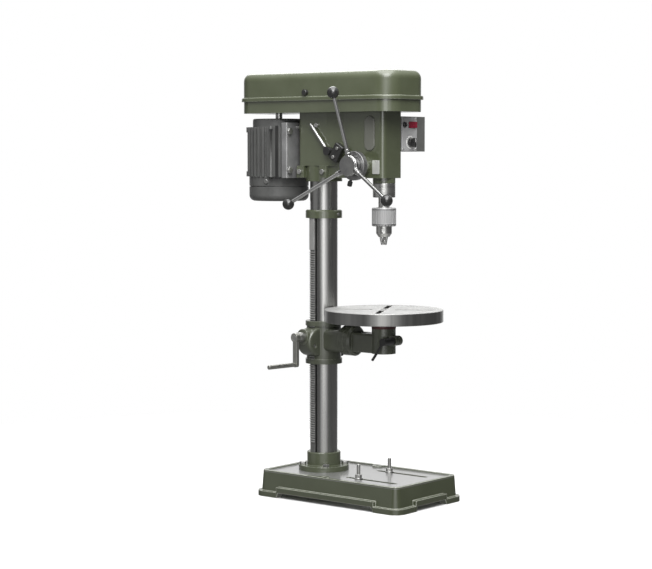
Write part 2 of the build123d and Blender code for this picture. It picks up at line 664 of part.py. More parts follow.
with BuildPart() as head_casting:
    with BuildSketch(Plane.XY.offset(BOX_LOW)):
        with BuildLine():
            Polyline(
                (-BOX_X, COLUMN_Y + BOX_REAR),
                (-BOX_X, COLUMN_Y - BOX_X),
                (-WEB_X, COLUMN_Y - THROAT / 2),
                (-WEB_X, COLUMN_Y - HEAD_FRONT),
                (WEB_X, COLUMN_Y - HEAD_FRONT),
                (WEB_X, COLUMN_Y - THROAT / 2),
                (BOX_X, COLUMN_Y - BOX_X),
                (BOX_X, COLUMN_Y + BOX_REAR),
                close=True,
            )
        make_face()
        fillet(vertices().group_by(Axis.Y)[0], 14)
        fillet(vertices().group_by(Axis.Y)[-1], 12)
    extrude(amount=HEAD_TOP - BOX_LOW)
    with BuildSketch(Plane.XY.offset(HEAD_BOTTOM)):
        with BuildLine():
            Polyline(
                (-WEB_X, COLUMN_Y),
                (-WEB_X, COLUMN_Y - HEAD_FRONT),
                (WEB_X, COLUMN_Y - HEAD_FRONT),
                (WEB_X, COLUMN_Y),
                close=True,
            )
        make_face()
        fillet(vertices().group_by(Axis.Y)[0], 14)
    extrude(amount=BOX_LOW - HEAD_BOTTOM)
    with Locations((0, COLUMN_Y, SLEEVE_LOW)):
        Cylinder(BOX_X, HEAD_TOP - SLEEVE_LOW - 1, align=UP)
    with Locations((0, SPINDLE_Y, QUILL_BOSS_LOW)):
        Cylinder(QUILL_BOSS_R, BOX_LOW - QUILL_BOSS_LOW, align=UP)
    with Locations((0, COLUMN_Y - PINION_F, PINION_Z)):
        Cylinder(FEED_BOSS_R, FEED_BOSS_X, rotation=(0, -90, 0), align=UP)
    with Locations((0, COLUMN_Y - PAD_F, PAD_Z), (0, COLUMN_Y - PAD_REAR, PAD_Z)):
        Box(2 * PAD_X, PAD_W, PAD_H)
    with Locations((ROD_X, COLUMN_Y + BOX_REAR, ROD_Z), (-ROD_X, COLUMN_Y + BOX_REAR, ROD_Z)):
        Cylinder(ROD_BOSS_R, 6, rotation=ALONG_Y)
    with BuildSketch(Plane.YZ.offset(-BLOCK_X)):
        with Locations((COLUMN_Y - BLOCK_F, BLOCK_Z)):
            RectangleRounded(BLOCK_L, BLOCK_W, BLOCK_ROUND, rotation=-BLOCK_LEAN)
    extrude(amount=BLOCK_X - WEB_X + BLOCK_ROUND)
    with BuildSketch(Plane.XY.offset(CORE_Z)):
        with Locations((0, COLUMN_Y - (PINION_F + BOX_X) / 2 + 7)):
            RectangleRounded(2 * WEB_X - 24, PINION_F - BOX_X - 52, 12)
    extrude(amount=HEAD_TOP - CORE_Z - 20, mode=Mode.SUBTRACT)
    with Locations((0, COLUMN_Y, SLEEVE_LOW)):
        Cylinder(COLUMN_R + SEAT, COLUMN_TOP - SLEEVE_LOW + SEAT, align=UP, mode=Mode.SUBTRACT)
    with Locations((0, SPINDLE_Y, QUILL_BOSS_LOW)):
        Cylinder(QUILL_R + RUN, QUILL_BORE_TOP - QUILL_BOSS_LOW, align=UP, mode=Mode.SUBTRACT)
    with Locations((0, SPINDLE_Y, QUILL_BOSS_LOW)):
        Cylinder(QUILL_R - 6, HEAD_TOP, align=UP, mode=Mode.SUBTRACT)
    with Locations((0, SPINDLE_Y, BEARING_LOW)):
        Cylinder(BEARING_R + SEAT, HEAD_TOP, align=UP, mode=Mode.SUBTRACT)
    with Locations((0, COLUMN_Y - PINION_F, PINION_Z)):
        Cylinder(PINION_BORE, 2 * WEB_X - 8, rotation=ALONG_X, mode=Mode.SUBTRACT)
        Cylinder(FEED_SHAFT_R + RUN, 4 * FEED_BOSS_X, rotation=ALONG_X, mode=Mode.SUBTRACT)
    with Locations((WEB_X, COLUMN_Y - PINION_F, PINION_Z)):
        Cylinder(PINION_BORE, 10, rotation=ALONG_X, mode=Mode.SUBTRACT)
    with Locations((ROD_X, COLUMN_Y + BOX_REAR + 5, ROD_Z), (-ROD_X, COLUMN_Y + BOX_REAR + 5, ROD_Z)):
        Cylinder(ROD_R + RUN, 2 * BOX_REAR, rotation=ALONG_Y, align=UP, mode=Mode.SUBTRACT)
    with BuildSketch(Plane.YZ.offset(-WEB_X)):
        with Locations((COLUMN_Y - OVAL_F, OVAL_Z)):
            SlotOverall(OVAL_H, OVAL_W, rotation=90)
    extrude(amount=OVAL_DEEP, mode=Mode.SUBTRACT)
    with Locations((-BOX_X - 1, COLUMN_Y - TENSION_F, TENSION_Z)):
        Cylinder(TENSION_R + RUN, BOX_X, rotation=ALONG_X, align=UP, mode=Mode.SUBTRACT)
    with Locations((-BOX_X - 1, COLUMN_Y - LOCK_SCREW_F, LOCK_SCREW_Z)):
        Cylinder(SET_R + SEAT, BOX_X - ROD_X - ROD_R, rotation=ALONG_X, align=UP, mode=Mode.SUBTRACT)
    for along in (PAD_F, PAD_REAR):
        with Locations((-PAD_X - 1, COLUMN_Y - along, PAD_Z)):
            Cylinder(SET_R + SEAT, PAD_X - COLUMN_R + 30, rotation=ALONG_X, align=UP, mode=Mode.SUBTRACT)
save(head_casting, "head_casting")

# Obround cover and small bare plate on the head
with BuildPart() as oval_cover:
    with BuildSketch(Plane.YZ.offset(-WEB_X + OVAL_DEEP - SEAT)):
        with Locations((COLUMN_Y - OVAL_F, OVAL_Z)):
            SlotOverall(OVAL_H - 1, OVAL_W - 1, rotation=90)
    extrude(amount=-OVAL_DEEP - 3)
    fillet(oval_cover.faces().sort_by(Axis.X)[0].edges(), 2.5)
save(oval_cover, "oval_cover")

PLATE_F = 211.0
BARE_Z = 891.0
BARE_W = 23.0
BARE_H = 36.0
with BuildPart() as bare_plate:
    with BuildSketch(Plane.YZ.offset(-WEB_X - SEAT)):
        with Locations((COLUMN_Y - PLATE_F, BARE_Z)):
            RectangleRounded(BARE_W, BARE_H, 2)
    extrude(amount=-1.5)
save(bare_plate, "bare_plate")

# Belt tension block, lever and the small screws on the near side
BLOCK_T = 15.0
SCREW_HEAD_R = 4.5
SCREW_STEP = 13.6
with BuildPart() as tension_block:
    with BuildSketch(Plane.YZ.offset(-BLOCK_X - SEAT)):
        with Locations((COLUMN_Y - BLOCK_F, BLOCK_Z)):
            RectangleRounded(BLOCK_L, BLOCK_W, BLOCK_ROUND, rotation=-BLOCK_LEAN)
    extrude(amount=-BLOCK_T)
    chamfer(tension_block.faces().sort_by(Axis.X)[0].edges(), 1.5)
save(tension_block, "tension_block")

ROD_RUN = 94.0
ROD_LEAN = 39.4
with BuildPart() as tension_lever:
    with Locations((-BOX_X - GAP, COLUMN_Y - TENSION_F, TENSION_Z)):
        Cylinder(TENSION_R + 3, 16, rotation=(0, -90, 0), align=UP)
        Cylinder(TENSION_R, BOX_X - 4, rotation=(0, 90, 0), align=UP)
    with Locations((-BOX_X - GAP - 9, COLUMN_Y - TENSION_F, TENSION_Z)):
        Cylinder(4, ROD_RUN, rotation=(-ROD_LEAN, 0, 0), align=UP)
save(tension_lever, "tension_lever")

with BuildPart() as set_screws:
    for along in (PAD_F, PAD_REAR):
        with Locations((-PAD_X - SEAT, COLUMN_Y - along, PAD_Z)):
            Cylinder(SET_R, 16, rotation=ALONG_X, align=UP)
            Cylinder(SET_R + 2.5, 6, rotation=(0, -90, 0), align=UP)
    with Locations((-BOX_X - SEAT, COLUMN_Y - LOCK_SCREW_F, LOCK_SCREW_Z)):
        Cylinder(SET_R, 10, rotation=ALONG_X, align=UP)
        Cylinder(SET_R + 2, 4.8, rotation=(0, -90, 0), align=UP)
    with Locations((0, COLUMN_Y - COLUMN_R - 1, (COLLAR_LOW + COLLAR_TOP) / 2)):
        Cylinder(SET_R, COLLAR_R - COLUMN_R + 2, rotation=ALONG_Y, align=UP)
    for step in (-1, 1):
        forward = BLOCK_F + step * SCREW_STEP * math.cos(math.radians(BLOCK_LEAN))
        upward = BLOCK_Z + step * SCREW_STEP * math.sin(math.radians(BLOCK_LEAN))
        with Locations((-BLOCK_X - BLOCK_T - 2 * SEAT, COLUMN_Y - forward, upward)):
            Cylinder(SCREW_HEAD_R, 4, rotation=(0, -90, 0), align=UP)
save(set_screws, "set_screws")

# Quill with rack teeth cut along its back, and the collar at its nose
QUILL_LOW = 813.0
QUILL_TOP = 985.0
NOSE_R = 30.0
NOSE_LOW = 811.0
NOSE_TOP = QUILL_BOSS_LOW - GAP
QUILL_BORE = 15.0
SPINDLE_R = 10.0
QUILL_TEETH_W = 16.0
QUILL_PITCH = math.pi * PINION_MODULE
QUILL_GAPS = 16
with BuildPart() as quill:
    with Locations((0, SPINDLE_Y, QUILL_LOW)):
        Cylinder(QUILL_R, QUILL_TOP - QUILL_LOW, align=UP)
        Cylinder(QUILL_BORE, QUILL_TOP - QUILL_LOW, align=UP, mode=Mode.SUBTRACT)
    with BuildSketch(Plane.YZ):
        for step in range(QUILL_GAPS):
            middle = PINION_Z + (step - 1.5) * QUILL_PITCH
            half = QUILL_PITCH / 4 + RACK_PLAY / 2
            wide = half + 1.75 * PINION_MODULE * math.tan(PRESSURE)
            thin = half - 1.1 * PINION_MODULE * math.tan(PRESSURE)
            root = SPINDLE_Y + QUILL_R - 1.85 * PINION_MODULE
            with BuildLine():
                Polyline(
                    (root, middle - thin),
                    (root + 2.85 * PINION_MODULE, middle - wide),
                    (root + 2.85 * PINION_MODULE, middle + wide),
                    (root, middle + thin),
                    close=True,
                )
            make_face()
    extrude(amount=QUILL_TEETH_W / 2, both=True, mode=Mode.SUBTRACT)
save(quill, "quill")

with BuildPart() as quill_collar:
    with Locations((0, SPINDLE_Y, NOSE_LOW)):
        Cylinder(NOSE_R, NOSE_TOP - NOSE_LOW, align=UP)
    chamfer(quill_collar.edges(), 1)
    with Locations((0, SPINDLE_Y, QUILL_LOW)):
        Cylinder(QUILL_R + SEAT, NOSE_TOP, align=UP, mode=Mode.SUBTRACT)
    with Locations((0, SPINDLE_Y, NOSE_LOW)):
        Cylinder(SPINDLE_R + 6, NOSE_TOP, mode=Mode.SUBTRACT)
save(quill_collar, "quill_collar")

BALL_RING = 14.0
with BuildPart() as quill_bearings:
    with Locations((0, SPINDLE_Y, QUILL_LOW + 4), (0, SPINDLE_Y, QUILL_TOP - 4 - BALL_RING)):
        Cylinder(QUILL_BORE - SEAT, BALL_RING, align=UP)
        Cylinder(SPINDLE_R + RUN, BALL_RING, align=UP, mode=Mode.SUBTRACT)
save(quill_bearings, "quill_bearings")

# Spindle, spinning in the quill and sliding in the drive sleeve
CHUCK_TOP = 785.0
SPINDLE_LOW = 752.0
SPINDLE_TOP = 1106.0
ARBOR_R = 8.0
with BuildPart() as spindle:
    with Locations((0, SPINDLE_Y, SPINDLE_LOW)):
        Cylinder(ARBOR_R, CHUCK_TOP - SPINDLE_LOW + 1, align=UP)
    with Locations((0, SPINDLE_Y, CHUCK_TOP + GAP)):
        Cylinder(SPINDLE_R, SPINDLE_TOP - CHUCK_TOP - GAP, align=UP)
        Cylinder(SPINDLE_R + 5, QUILL_LOW - CHUCK_TOP - 1, align=UP)
save(spindle, "spindle")

# Keyed drill chuck with sleeve and three leaning jaws
CHUCK_R = 32.2
CHUCK_STEP = 735.0
CHUCK_LOW = 707.0
CHUCK_CORE_R = 21.0
NUT_SPACE_R = 26.5
JAW_TIP = 686.0
JAW_R = 3.7
JAW_TIP_R = 4.4
JAW_LEAN = 12.0
JAW_L = 46.0
KEY_R = 4.0
with BuildPart() as chuck_body:
    with Locations((0, SPINDLE_Y, CHUCK_LOW)):
        Cylinder(CHUCK_CORE_R, CHUCK_TOP - CHUCK_LOW, align=UP)
    chamfer(chuck_body.edges().group_by(Axis.Z)[0], 9, 6)
    with Locations((0, SPINDLE_Y, SPINDLE_LOW - 4)):
        Cylinder(ARBOR_R + SEAT, CHUCK_TOP, align=UP, mode=Mode.SUBTRACT)
    for turn in (30, 150, 270):
        reach = (math.cos(math.radians(turn)), math.sin(math.radians(turn)))
        lean = (math.sin(math.radians(JAW_LEAN)), math.cos(math.radians(JAW_LEAN)))
        jaw_plane = Plane(
            origin=(JAW_TIP_R * reach[0], SPINDLE_Y + JAW_TIP_R * reach[1], JAW_TIP),
            z_dir=(lean[0] * reach[0], lean[0] * reach[1], lean[1]),
        )
        with BuildSketch(jaw_plane):
            Circle(JAW_R + RUN)
        extrude(amount=JAW_L + 26, mode=Mode.SUBTRACT)
    with Locations((0, SPINDLE_Y, CHUCK_STEP - 9)):
        with PolarLocations(CHUCK_CORE_R, 3, start_angle=90):
            Cylinder(KEY_R, 12, rotation=ALONG_X, mode=Mode.SUBTRACT)
save(chuck_body, "chuck_body")

with BuildPart() as chuck_sleeve:
    with Locations((0, SPINDLE_Y, CHUCK_STEP)):
        Cylinder(CHUCK_R, CHUCK_TOP - CHUCK_STEP - 1, align=UP)
    chamfer(chuck_sleeve.edges(), 2)
    with BuildSketch(Plane.XY.offset(CHUCK_STEP + 7)):
        with Locations((0, SPINDLE_Y)):
            with PolarLocations(CHUCK_R, 36):
                Circle(1.1)
    extrude(amount=CHUCK_TOP - CHUCK_STEP - 15, mode=Mode.SUBTRACT)
    with BuildSketch(Plane.XY.offset(CHUCK_STEP)):
        with Locations((0, SPINDLE_Y)):
            with PolarLocations(CHUCK_R - 2, 24):
                Rectangle(8, 3.6)
    extrude(amount=3.5, mode=Mode.SUBTRACT)
    with Locations((0, SPINDLE_Y, CHUCK_STEP)):
        Cylinder(CHUCK_CORE_R + RUN, CHUCK_TOP, align=UP, mode=Mode.SUBTRACT)
    with Locations((0, SPINDLE_Y, CHUCK_STEP)):
        Cylinder(NUT_SPACE_R, 30, align=UP, mode=Mode.SUBTRACT)
save(chuck_sleeve, "chuck_sleeve")

for number, turn in enumerate((30, 150, 270), start=1):
    reach = (math.cos(math.radians(turn)), math.sin(math.radians(turn)))
    lean = (math.sin(math.radians(JAW_LEAN)), math.cos(math.radians(JAW_LEAN)))
    jaw_plane = Plane(
        origin=(JAW_TIP_R * reach[0], SPINDLE_Y + JAW_TIP_R * reach[1], JAW_TIP),
        z_dir=(lean[0] * reach[0], lean[0] * reach[1], lean[1]),
    )
    with BuildPart() as chuck_jaw:
        with BuildSketch(jaw_plane):
            Circle(JAW_R)
        extrude(amount=JAW_L)
        chamfer(chuck_jaw.edges().group_by(Axis.Z)[0], 1)
    save(chuck_jaw, f"chuck_jaw_{number}")

# Drive sleeve in its bearings, carrying the spindle pulley
SLEEVE_OUT = 14.0
SLEEVE_BASE = 999.0
SLEEVE_HIGH = 1119.0
RACE_H = 12.0
with BuildPart() as drive_sleeve:
    with Locations((0, SPINDLE_Y, SLEEVE_BASE)):
        Cylinder(SLEEVE_OUT, SLEEVE_HIGH - SLEEVE_BASE, align=UP)
        Cylinder(SPINDLE_R + RUN, SLEEVE_HIGH - SLEEVE_BASE, align=UP, mode=Mode.SUBTRACT)
save(drive_sleeve, "drive_sleeve")

with BuildPart() as head_bearings:
    with Locations((0, SPINDLE_Y, BEARING_LOW + SEAT), (0, SPINDLE_Y, HEAD_TOP - RACE_H - 2)):
        Cylinder(BEARING_R, RACE_H, align=UP)
        Cylinder(SLEEVE_OUT + RUN, RACE_H, align=UP, mode=Mode.SUBTRACT)
save(head_bearings, "head_bearings")

# Stepped pulleys and the belt on their middle steps
STEP_H = 15.0
STEPS = (63.0, 54.0, 45.0, 36.0, 27.0)
PULLEY_LOW = 1045.0
GROOVE_D = 10.0
GROOVE_TOP = 13.2
GROOVE_LOW = 6.6
MOTOR_SHAFT_R = 9.5


def pulley_outline(steps, bore):
    """Half section of a stepped pulley, radius first and height second."""
    points = [(bore, PULLEY_LOW)]
    for number, radius in enumerate(steps):
        low = PULLEY_LOW + number * STEP_H
        middle = low + STEP_H / 2
        points += [(radius, low), (radius, middle - GROOVE_TOP / 2)]
        root = radius - GROOVE_D
        points += [(root, middle - GROOVE_LOW / 2), (root, middle + GROOVE_LOW / 2)]
        points += [(radius, middle + GROOVE_TOP / 2), (radius, low + STEP_H)]
    points.append((bore, PULLEY_LOW + len(steps) * STEP_H))
    return points


with BuildPart() as spindle_pulley:
    with BuildSketch(Plane(origin=(0, SPINDLE_Y, 0), x_dir=(1, 0, 0), z_dir=(0, -1, 0))):
        with BuildLine():
            Polyline(pulley_outline(STEPS, SLEEVE_OUT + SEAT), close=True)
        make_face()
    revolve(axis=Axis((0, SPINDLE_Y, 0), (0, 0, 1)))
save(spindle_pulley, "spindle_pulley")

with BuildPart() as motor_pulley:
    with BuildSketch(Plane(origin=(0, MOTOR_Y, 0), x_dir=(1, 0, 0), z_dir=(0, -1, 0))):
        with BuildLine():
            Polyline(pulley_outline(tuple(reversed(STEPS)), MOTOR_SHAFT_R + SEAT), close=True)
        make_face()
    revolve(axis=Axis((0, MOTOR_Y, 0), (0, 0, 1)))
save(motor_pulley, "motor_pulley")

BELT_T = 8.0
BELT_W = 12.0
BELT_IN_W = 7.2
BELT_OUT_R = STEPS[2] - 0.5
BELT_Z = PULLEY_LOW + 2.5 * STEP_H
with BuildPart() as drive_belt:
    with BuildLine() as belt_path:
        Line((BELT_OUT_R, SPINDLE_Y, BELT_Z), (BELT_OUT_R, MOTOR_Y, BELT_Z))
        ThreePointArc(
            (BELT_OUT_R, MOTOR_Y, BELT_Z),
            (0, MOTOR_Y + BELT_OUT_R, BELT_Z),
            (-BELT_OUT_R, MOTOR_Y, BELT_Z),
        )
        Line((-BELT_OUT_R, MOTOR_Y, BELT_Z), (-BELT_OUT_R, SPINDLE_Y, BELT_Z))
        ThreePointArc(
            (-BELT_OUT_R, SPINDLE_Y, BELT_Z),
            (0, SPINDLE_Y - BELT_OUT_R, BELT_Z),
            (BELT_OUT_R, SPINDLE_Y, BELT_Z),
        )
    with BuildSketch(Plane(origin=(BELT_OUT_R, SPINDLE_Y, BELT_Z), x_dir=(1, 0, 0), z_dir=(0, 1, 0))):
        with BuildLine():
            Polyline(
                (0, -BELT_W / 2),
                (0, BELT_W / 2),
                (-BELT_T, BELT_IN_W / 2),
                (-BELT_T, -BELT_IN_W / 2),
                close=True,
            )
        make_face()
    sweep(path=belt_path.wire())
save(drive_belt, "drive_belt")

# Feed pinion shaft, hub, depth ring, levers and knobs
FEED_Y = COLUMN_Y - PINION_F
HUB_OUT = 113.0
HUB_X = 90.5
RING_X = 73.5
RING_R = 38.5
HUB_BODY_R = 28.0
CAP_R = 26.0
CAP_T = 5.0
SPRING_X = 42.0
SPRING_T = 28.0
with BuildPart() as pinion_shaft:
    with Locations((SPRING_X + SPRING_T - 6, FEED_Y, PINION_Z)):
        Cylinder(FEED_SHAFT_R, SPRING_X + SPRING_T - 6 + HUB_OUT - CAP_T - 1, rotation=(0, -90, 0), align=UP)
    with BuildSketch(Plane(origin=(0, FEED_Y, PINION_Z), x_dir=(0, 1, 0), z_dir=(1, 0, 0))):
        with BuildLine():
            Polyline(gear_outline(PINION_MODULE, PINION_TEETH, RACK_PLAY, math.pi), close=True)
        make_face()
    extrude(amount=QUILL_TEETH_W / 2, both=True)
save(pinion_shaft, "pinion_shaft")

KNOB_LEAN = math.radians(17.0)
KNOB_HEAD_R = 6.5
KNOB_HEAD_H = 13.0
KNOB_DIR = (0, math.sin(KNOB_LEAN), -math.cos(KNOB_LEAN))
knob_plane = Plane(origin=(-(RING_X + HUB_X) / 2, FEED_Y, PINION_Z), x_dir=(1, 0, 0), z_dir=KNOB_DIR)
with BuildPart() as depth_ring:
    with Locations((-RING_X, FEED_Y, PINION_Z)):
        Cylinder(RING_R, HUB_X - RING_X - GAP, rotation=(0, -90, 0), align=UP)
    fillet(depth_ring.edges(), 2)
    with Locations((-FEED_BOSS_X - GAP, FEED_Y, PINION_Z)):
        Cylinder(FEED_BOSS_R - 3, RING_X - FEED_BOSS_X, rotation=(0, -90, 0), align=UP)
    with Locations((0, FEED_Y, PINION_Z)):
        Cylinder(FEED_SHAFT_R + RUN, 4 * RING_X, rotation=ALONG_X, mode=Mode.SUBTRACT)
    with BuildSketch(knob_plane):
        Circle(SET_R)
    extrude(amount=2 * RING_R, mode=Mode.SUBTRACT)
save(depth_ring, "depth_ring")

with BuildPart() as depth_knob:
    with BuildSketch(knob_plane.offset(RING_R - 12)):
        Circle(SET_R - RUN)
    extrude(amount=18)
    with BuildSketch(knob_plane.offset(RING_R + 5)):
        Circle(KNOB_HEAD_R)
    extrude(amount=KNOB_HEAD_H)
    fillet(depth_knob.faces().sort_by(Axis.Z)[0].edges(), 2)
save(depth_knob, "depth_knob")

LEVER_TIP_R = 189.0
LEVER_TIP_X = 161.0
LEVER_ROOT_R = 14.0
LEVER_ROOT_X = 100.5
LEVER_R = 5.0
FERRULE_R = 7.5
KNOB_R = 15.7
LEVER_TURNS = (92.4, 212.4, 332.4)
LEVER_RUN = math.hypot(LEVER_TIP_R - LEVER_ROOT_R, LEVER_TIP_X - LEVER_ROOT_X)
LEVER_OUT = (LEVER_TIP_R - LEVER_ROOT_R) / LEVER_RUN
LEVER_AWAY = (LEVER_TIP_X - LEVER_ROOT_X) / LEVER_RUN


def lever_plane(turn, along):
    """Plane square to a feed lever, at a distance along it from its root."""
    forward = math.cos(math.radians(turn))
    upward = math.sin(math.radians(turn))
    out = LEVER_ROOT_R + LEVER_OUT * along
    return Plane(
        origin=(-LEVER_ROOT_X - LEVER_AWAY * along, FEED_Y - out * forward, PINION_Z + out * upward),
        z_dir=(-LEVER_AWAY, -LEVER_OUT * forward, LEVER_OUT * upward),
    )


with BuildPart() as feed_hub:
    with Locations((-HUB_X, FEED_Y, PINION_Z)):
        Cylinder(HUB_BODY_R, HUB_OUT - CAP_T - HUB_X, rotation=(0, -90, 0), align=UP)
    fillet(feed_hub.edges(), 2)
    for turn in LEVER_TURNS:
        with BuildSketch(lever_plane(turn, 0)):
            Circle(FERRULE_R + 1)
        extrude(amount=22)
    with Locations((-HUB_OUT, FEED_Y, PINION_Z)):
        Cylinder(CAP_R, CAP_T + 1, rotation=(0, 90, 0), align=UP)
    with Locations((-HUB_OUT + CAP_T, FEED_Y, PINION_Z)):
        Cylinder(FEED_SHAFT_R + SEAT, HUB_OUT, rotation=ALONG_X, align=UP, mode=Mode.SUBTRACT)
    for turn in LEVER_TURNS:
        with BuildSketch(lever_plane(turn, 0)):
            Circle(LEVER_R + SEAT)
        extrude(amount=LEVER_RUN, mode=Mode.SUBTRACT)
save(feed_hub, "feed_hub")

with BuildPart() as feed_levers:
    for turn in LEVER_TURNS:
        with BuildSketch(lever_plane(turn, 1)):
            Circle(LEVER_R)
        extrude(amount=LEVER_RUN - KNOB_R + 6)
        with BuildSketch(lever_plane(turn, 22 + SEAT)):
            Circle(FERRULE_R)
        extrude(amount=9)
save(feed_levers, "feed_levers")

with BuildPart() as lever_knobs:
    for turn in LEVER_TURNS:
        with Locations(lever_plane(turn, LEVER_RUN)):
            Sphere(KNOB_R)
            Cylinder(LEVER_R + SEAT, KNOB_R - 5, align=DOWN, mode=Mode.SUBTRACT)
        with BuildSketch(lever_plane(turn, LEVER_RUN - 2 * KNOB_R)):
            Circle(LEVER_R + SEAT)
        extrude(amount=KNOB_R + 8, mode=Mode.SUBTRACT)
save(lever_knobs, "lever_knobs")

# Return spring in its cap on the far side
with BuildPart() as spring_cap:
    with Locations((SPRING_X + SEAT, FEED_Y, PINION_Z)):
        Cylinder(SPRING_R, SPRING_T, rotation=(0, 90, 0), align=UP)
    fillet(spring_cap.faces().sort_by(Axis.X)[-1].edges(), 3)
    with Locations((SPRING_X, FEED_Y, PINION_Z)):
        Cylinder(SPRING_R - 4, SPRING_T - 6, rotation=(0, 90, 0), align=UP, mode=Mode.SUBTRACT)
        Cylinder(FEED_SHAFT_R + RUN, SPRING_T - 3, rotation=(0, 90, 0), align=UP, mode=Mode.SUBTRACT)
save(spring_cap, "spring_cap")

SPRING_TURNS = 4
SPRING_IN = 11.0
SPRING_PITCH = 4.2
SPRING_STRIP = 1.2
with BuildPart() as return_spring:
    with BuildSketch(Plane(origin=(SPRING_X + 5, FEED_Y, PINION_Z), x_dir=(0, 1, 0), z_dir=(1, 0, 0))):
        with BuildLine():
            inner_curl = []
            outer_curl = []
            for step in range(SPRING_TURNS * 8 + 1):
                turn = step * math.pi / 4
                radius = SPRING_IN + SPRING_PITCH * step / 8
                inner_curl.append((radius * math.cos(turn), radius * math.sin(turn)))
                outward = radius + SPRING_STRIP
                outer_curl.append((outward * math.cos(turn), outward * math.sin(turn)))
            Spline(inner_curl)
            Spline(outer_curl)
            Line(inner_curl[0], outer_curl[0])
            Line(inner_curl[-1], outer_curl[-1])
        make_face()
    extrude(amount=14)
save(return_spring, "return_spring")

# Motor with ribbed frame, rotor, bracket and slide rods
MOTOR_R = 80.0
RIB_R = 87.0
RIB_W = 6.0
RIBS = 36
FRAME_LOW = 864.0
FRAME_TOP = 999.0
BELL_R = 72.0
BELL_TOP = 1022.0
FAN_R = 82.0
FAN_LOW = 797.0
SEAM_Z = 836.0
EAR_TURN = 38.7
EAR_R = 8.0
LUG_X = 71.0
LUG_W = 28.0
BRACKET_F = 64.0
BRACKET_T = 20.0
BRACKET_X = 80.0
LUG_L = 42.0
LUG_Y = COLUMN_Y + BRACKET_F + BRACKET_T + LUG_L / 2
PLATE_LOW = 861.0
PLATE_TOP = 1010.0
MOTOR_BOLT_Z = (882.0, 987.0)
MOTOR_BOLT_R = 5.0
ROTOR_R = 44.0
with BuildPart() as motor_frame:
    with Locations((0, MOTOR_Y, FAN_LOW)):
        Cylinder(FAN_R, FRAME_LOW - FAN_LOW + 1, align=UP)
    fillet(motor_frame.edges().group_by(Axis.Z)[0], 16)
    with Locations((0, MOTOR_Y, SEAM_Z)):
        Cylinder(FAN_R + 1, 2.5, align=UP, mode=Mode.SUBTRACT)
        Cylinder(FAN_R - 2.5, 2.5, align=UP)
    with Locations((0, MOTOR_Y, BELL_TOP)):
        Cylinder(BELL_R, BELL_TOP - FRAME_TOP + 1, align=DOWN)
    fillet(motor_frame.edges().group_by(Axis.Z)[-1], 5)
    with BuildSketch(Plane.XY.offset(FRAME_LOW)):
        with Locations((0, MOTOR_Y)):
            Circle(MOTOR_R)
            with PolarLocations((MOTOR_R + RIB_R) / 2 - 1, RIBS):
                Rectangle(RIB_R - MOTOR_R + 2, RIB_W)
        with Locations((LUG_X, LUG_Y), (-LUG_X, LUG_Y)):
            Rectangle(LUG_W, LUG_L)
    extrude(amount=FRAME_TOP - FRAME_LOW)
    with Locations((0, MOTOR_Y, FRAME_LOW)):
        with PolarLocations(MOTOR_R + 2, 4, start_angle=EAR_TURN):
            Cylinder(EAR_R, 14, align=UP)
    with Locations((0, MOTOR_Y, FRAME_TOP)):
        with PolarLocations(MOTOR_R + 2, 4, start_angle=EAR_TURN):
            Cylinder(EAR_R, 14, align=DOWN)
    with Locations((0, MOTOR_Y, FRAME_LOW + 8)):
        Cylinder(ROTOR_R + 1, FRAME_TOP - FRAME_LOW - 10, align=UP, mode=Mode.SUBTRACT)
    with Locations((0, MOTOR_Y, FRAME_LOW - 12)):
        Cylinder(MOTOR_SHAFT_R + RUN, BELL_TOP, align=UP, mode=Mode.SUBTRACT)
    for side in (-1, 1):
        for height in MOTOR_BOLT_Z:
            with Locations((side * LUG_X, COLUMN_Y + BRACKET_F, height)):
                Cylinder(MOTOR_BOLT_R + SEAT, 2 * BRACKET_T + LUG_L, rotation=ALONG_Y, mode=Mode.SUBTRACT)
save(motor_frame, "motor_frame")

with BuildPart() as motor_rotor:
    with Locations((0, MOTOR_Y, FRAME_LOW - 11)):
        Cylinder(MOTOR_SHAFT_R, SLEEVE_HIGH + 2 - FRAME_LOW + 11, align=UP)
    with Locations((0, MOTOR_Y, FRAME_LOW + 16)):
        Cylinder(ROTOR_R, FRAME_TOP - FRAME_LOW - 30, align=UP)
save(motor_rotor, "motor_rotor")

with BuildPart() as motor_bracket:
    with Locations((0, COLUMN_Y + BRACKET_F + BRACKET_T / 2, (PLATE_LOW + PLATE_TOP) / 2)):
        Box(2 * BRACKET_X, BRACKET_T - SEAT, PLATE_TOP - PLATE_LOW)
    chamfer(motor_bracket.edges().filter_by(Axis.Z), 2)
    with Locations((0, MOTOR_Y, FAN_LOW)):
        Cylinder(RIB_R + 2, LID_TOP, align=UP, mode=Mode.SUBTRACT)
    with Locations((ROD_X, COLUMN_Y + BRACKET_F, ROD_Z), (-ROD_X, COLUMN_Y + BRACKET_F, ROD_Z)):
        Cylinder(ROD_R + SEAT, 3 * BRACKET_T, rotation=ALONG_Y, mode=Mode.SUBTRACT)
    for side in (-1, 1):
        for height in MOTOR_BOLT_Z:
            with Locations((side * LUG_X, COLUMN_Y + BRACKET_F, height)):
                Cylinder(MOTOR_BOLT_R + SEAT, 4 * BRACKET_T, rotation=ALONG_Y, mode=Mode.SUBTRACT)
save(motor_bracket, "motor_bracket")

with BuildPart() as slide_rods:
    with Locations((ROD_X, COLUMN_Y + BRACKET_F + 10, ROD_Z), (-ROD_X, COLUMN_Y + BRACKET_F + 10, ROD_Z)):
        Cylinder(ROD_R, BRACKET_F + 10 + BOX_REAR - 30, rotation=ALONG_Y, align=UP)
save(slide_rods, "slide_rods")

